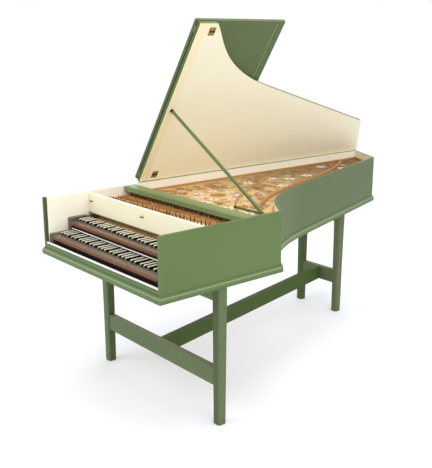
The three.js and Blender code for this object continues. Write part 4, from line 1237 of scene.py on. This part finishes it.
def softbox(name, place, target, size, power):
    light = bpy.data.lights.new(name, "AREA")
    light.shape = "RECTANGLE"
    light.size, light.size_y = size
    light.energy = power
    lamp = bpy.data.objects.new(name, light)
    lamp.location = place
    aim = Vector(target) - Vector(place)
    lamp.rotation_euler = aim.to_track_quat("-Z", "Y").to_euler()
    bpy.context.collection.objects.link(lamp)


def studio():
    """A pale floor that keeps the shadow and fades out to white, a white backdrop and soft lamps."""
    floor = add("plane", size=60, location=(0, 0, -0.0005))
    floor.name = "floor"
    paint = Paint("pale_floor")
    white_light = {"Color": (1, 1, 1, 1)}
    sheet = paint.node("ShaderNodeBsdfDiffuse", inputs={"Color": (0.80, 0.83, 0.88, 1)})
    glow = paint.node("ShaderNodeEmission", inputs={**white_light, "Strength": 0.16})
    white = paint.node("ShaderNodeEmission", inputs={**white_light, "Strength": 1.0})
    lifted = paint.node("ShaderNodeAddShader", inputs={0: sheet, 1: glow})
    x, y, _ = paint.axes()
    distance = paint.node("ShaderNodeMath", {"operation": "SQRT"}, {0: x * x + y * y})
    seen = paint.node("ShaderNodeLightPath", output="Is Camera Ray")
    far = paint.node("ShaderNodeMixShader", inputs={0: distance.fade(*FLOOR_FADE), 1: lifted, 2: white})
    shader = paint.node("ShaderNodeMixShader", inputs={0: seen, 1: sheet, 2: far})
    paint.node("ShaderNodeOutputMaterial", inputs={0: shader})
    floor.data.materials.append(paint.owner)

    sky = Paint("white_studio", "worlds")
    bpy.context.scene.world = sky.owner
    rays = ("Camera", "Transmission", "Glossy")
    straight, through, mirrored = [sky.node("ShaderNodeLightPath", output=f"Is {ray} Ray") for ray in rays]
    soft = sky.node("ShaderNodeBackground", inputs={**white_light, "Strength": 0.8})
    backdrop = sky.node("ShaderNodeBackground", inputs=white_light)
    shown = straight.most(through).most(mirrored)
    mixed = sky.node("ShaderNodeMixShader", inputs={0: shown, 1: soft, 2: backdrop})
    sky.node("ShaderNodeOutputWorld", inputs={0: mixed})

    softbox("front_softbox", (-1.2, -3.8, 2.3), (0, 0, 0.7), (3.0, 2.6), 50)
    softbox("side_softbox", (4.2, -1.2, 2.6), (0, 0, 1.0), (3.0, 2.4), 73)
    softbox("top_softbox", (0.6, 0.4, 4.6), (0, 0, 0.8), (4.0, 4.0), 78)
    softbox("rear_softbox", (-3.6, 2.8, 2.4), (0, 0, 0.7), (3.0, 2.4), 34)


def photo_camera():
    data = bpy.data.cameras.new("photo_camera")
    data.sensor_fit = "VERTICAL"
    data.sensor_height = SENSOR
    data.lens = CAMERA_FOCAL_PIXELS / PHOTO_HEIGHT_PIXELS * SENSOR
    data.clip_end = 100
    camera = bpy.data.objects.new("photo_camera", data)
    camera.location = at(*CAMERA_PLACE)
    camera.rotation_euler = (math.radians(90 - CAMERA_ELEVATION), 0, math.radians(CAMERA_AZIMUTH))
    bpy.context.collection.objects.link(camera)
    bpy.context.scene.camera = camera


photo_camera()
key_fronts()
balance_pins()
nameboard_trims()
batten_bead()
tuning_pins()
cloth_strip()
strings()
jack_rail_mouldings()
flap_bead()
spine_fillet()
hinge_screws()
plate_bolts()
stick_fittings()
painted_flowers()
rose()
painted_borders()
studio()
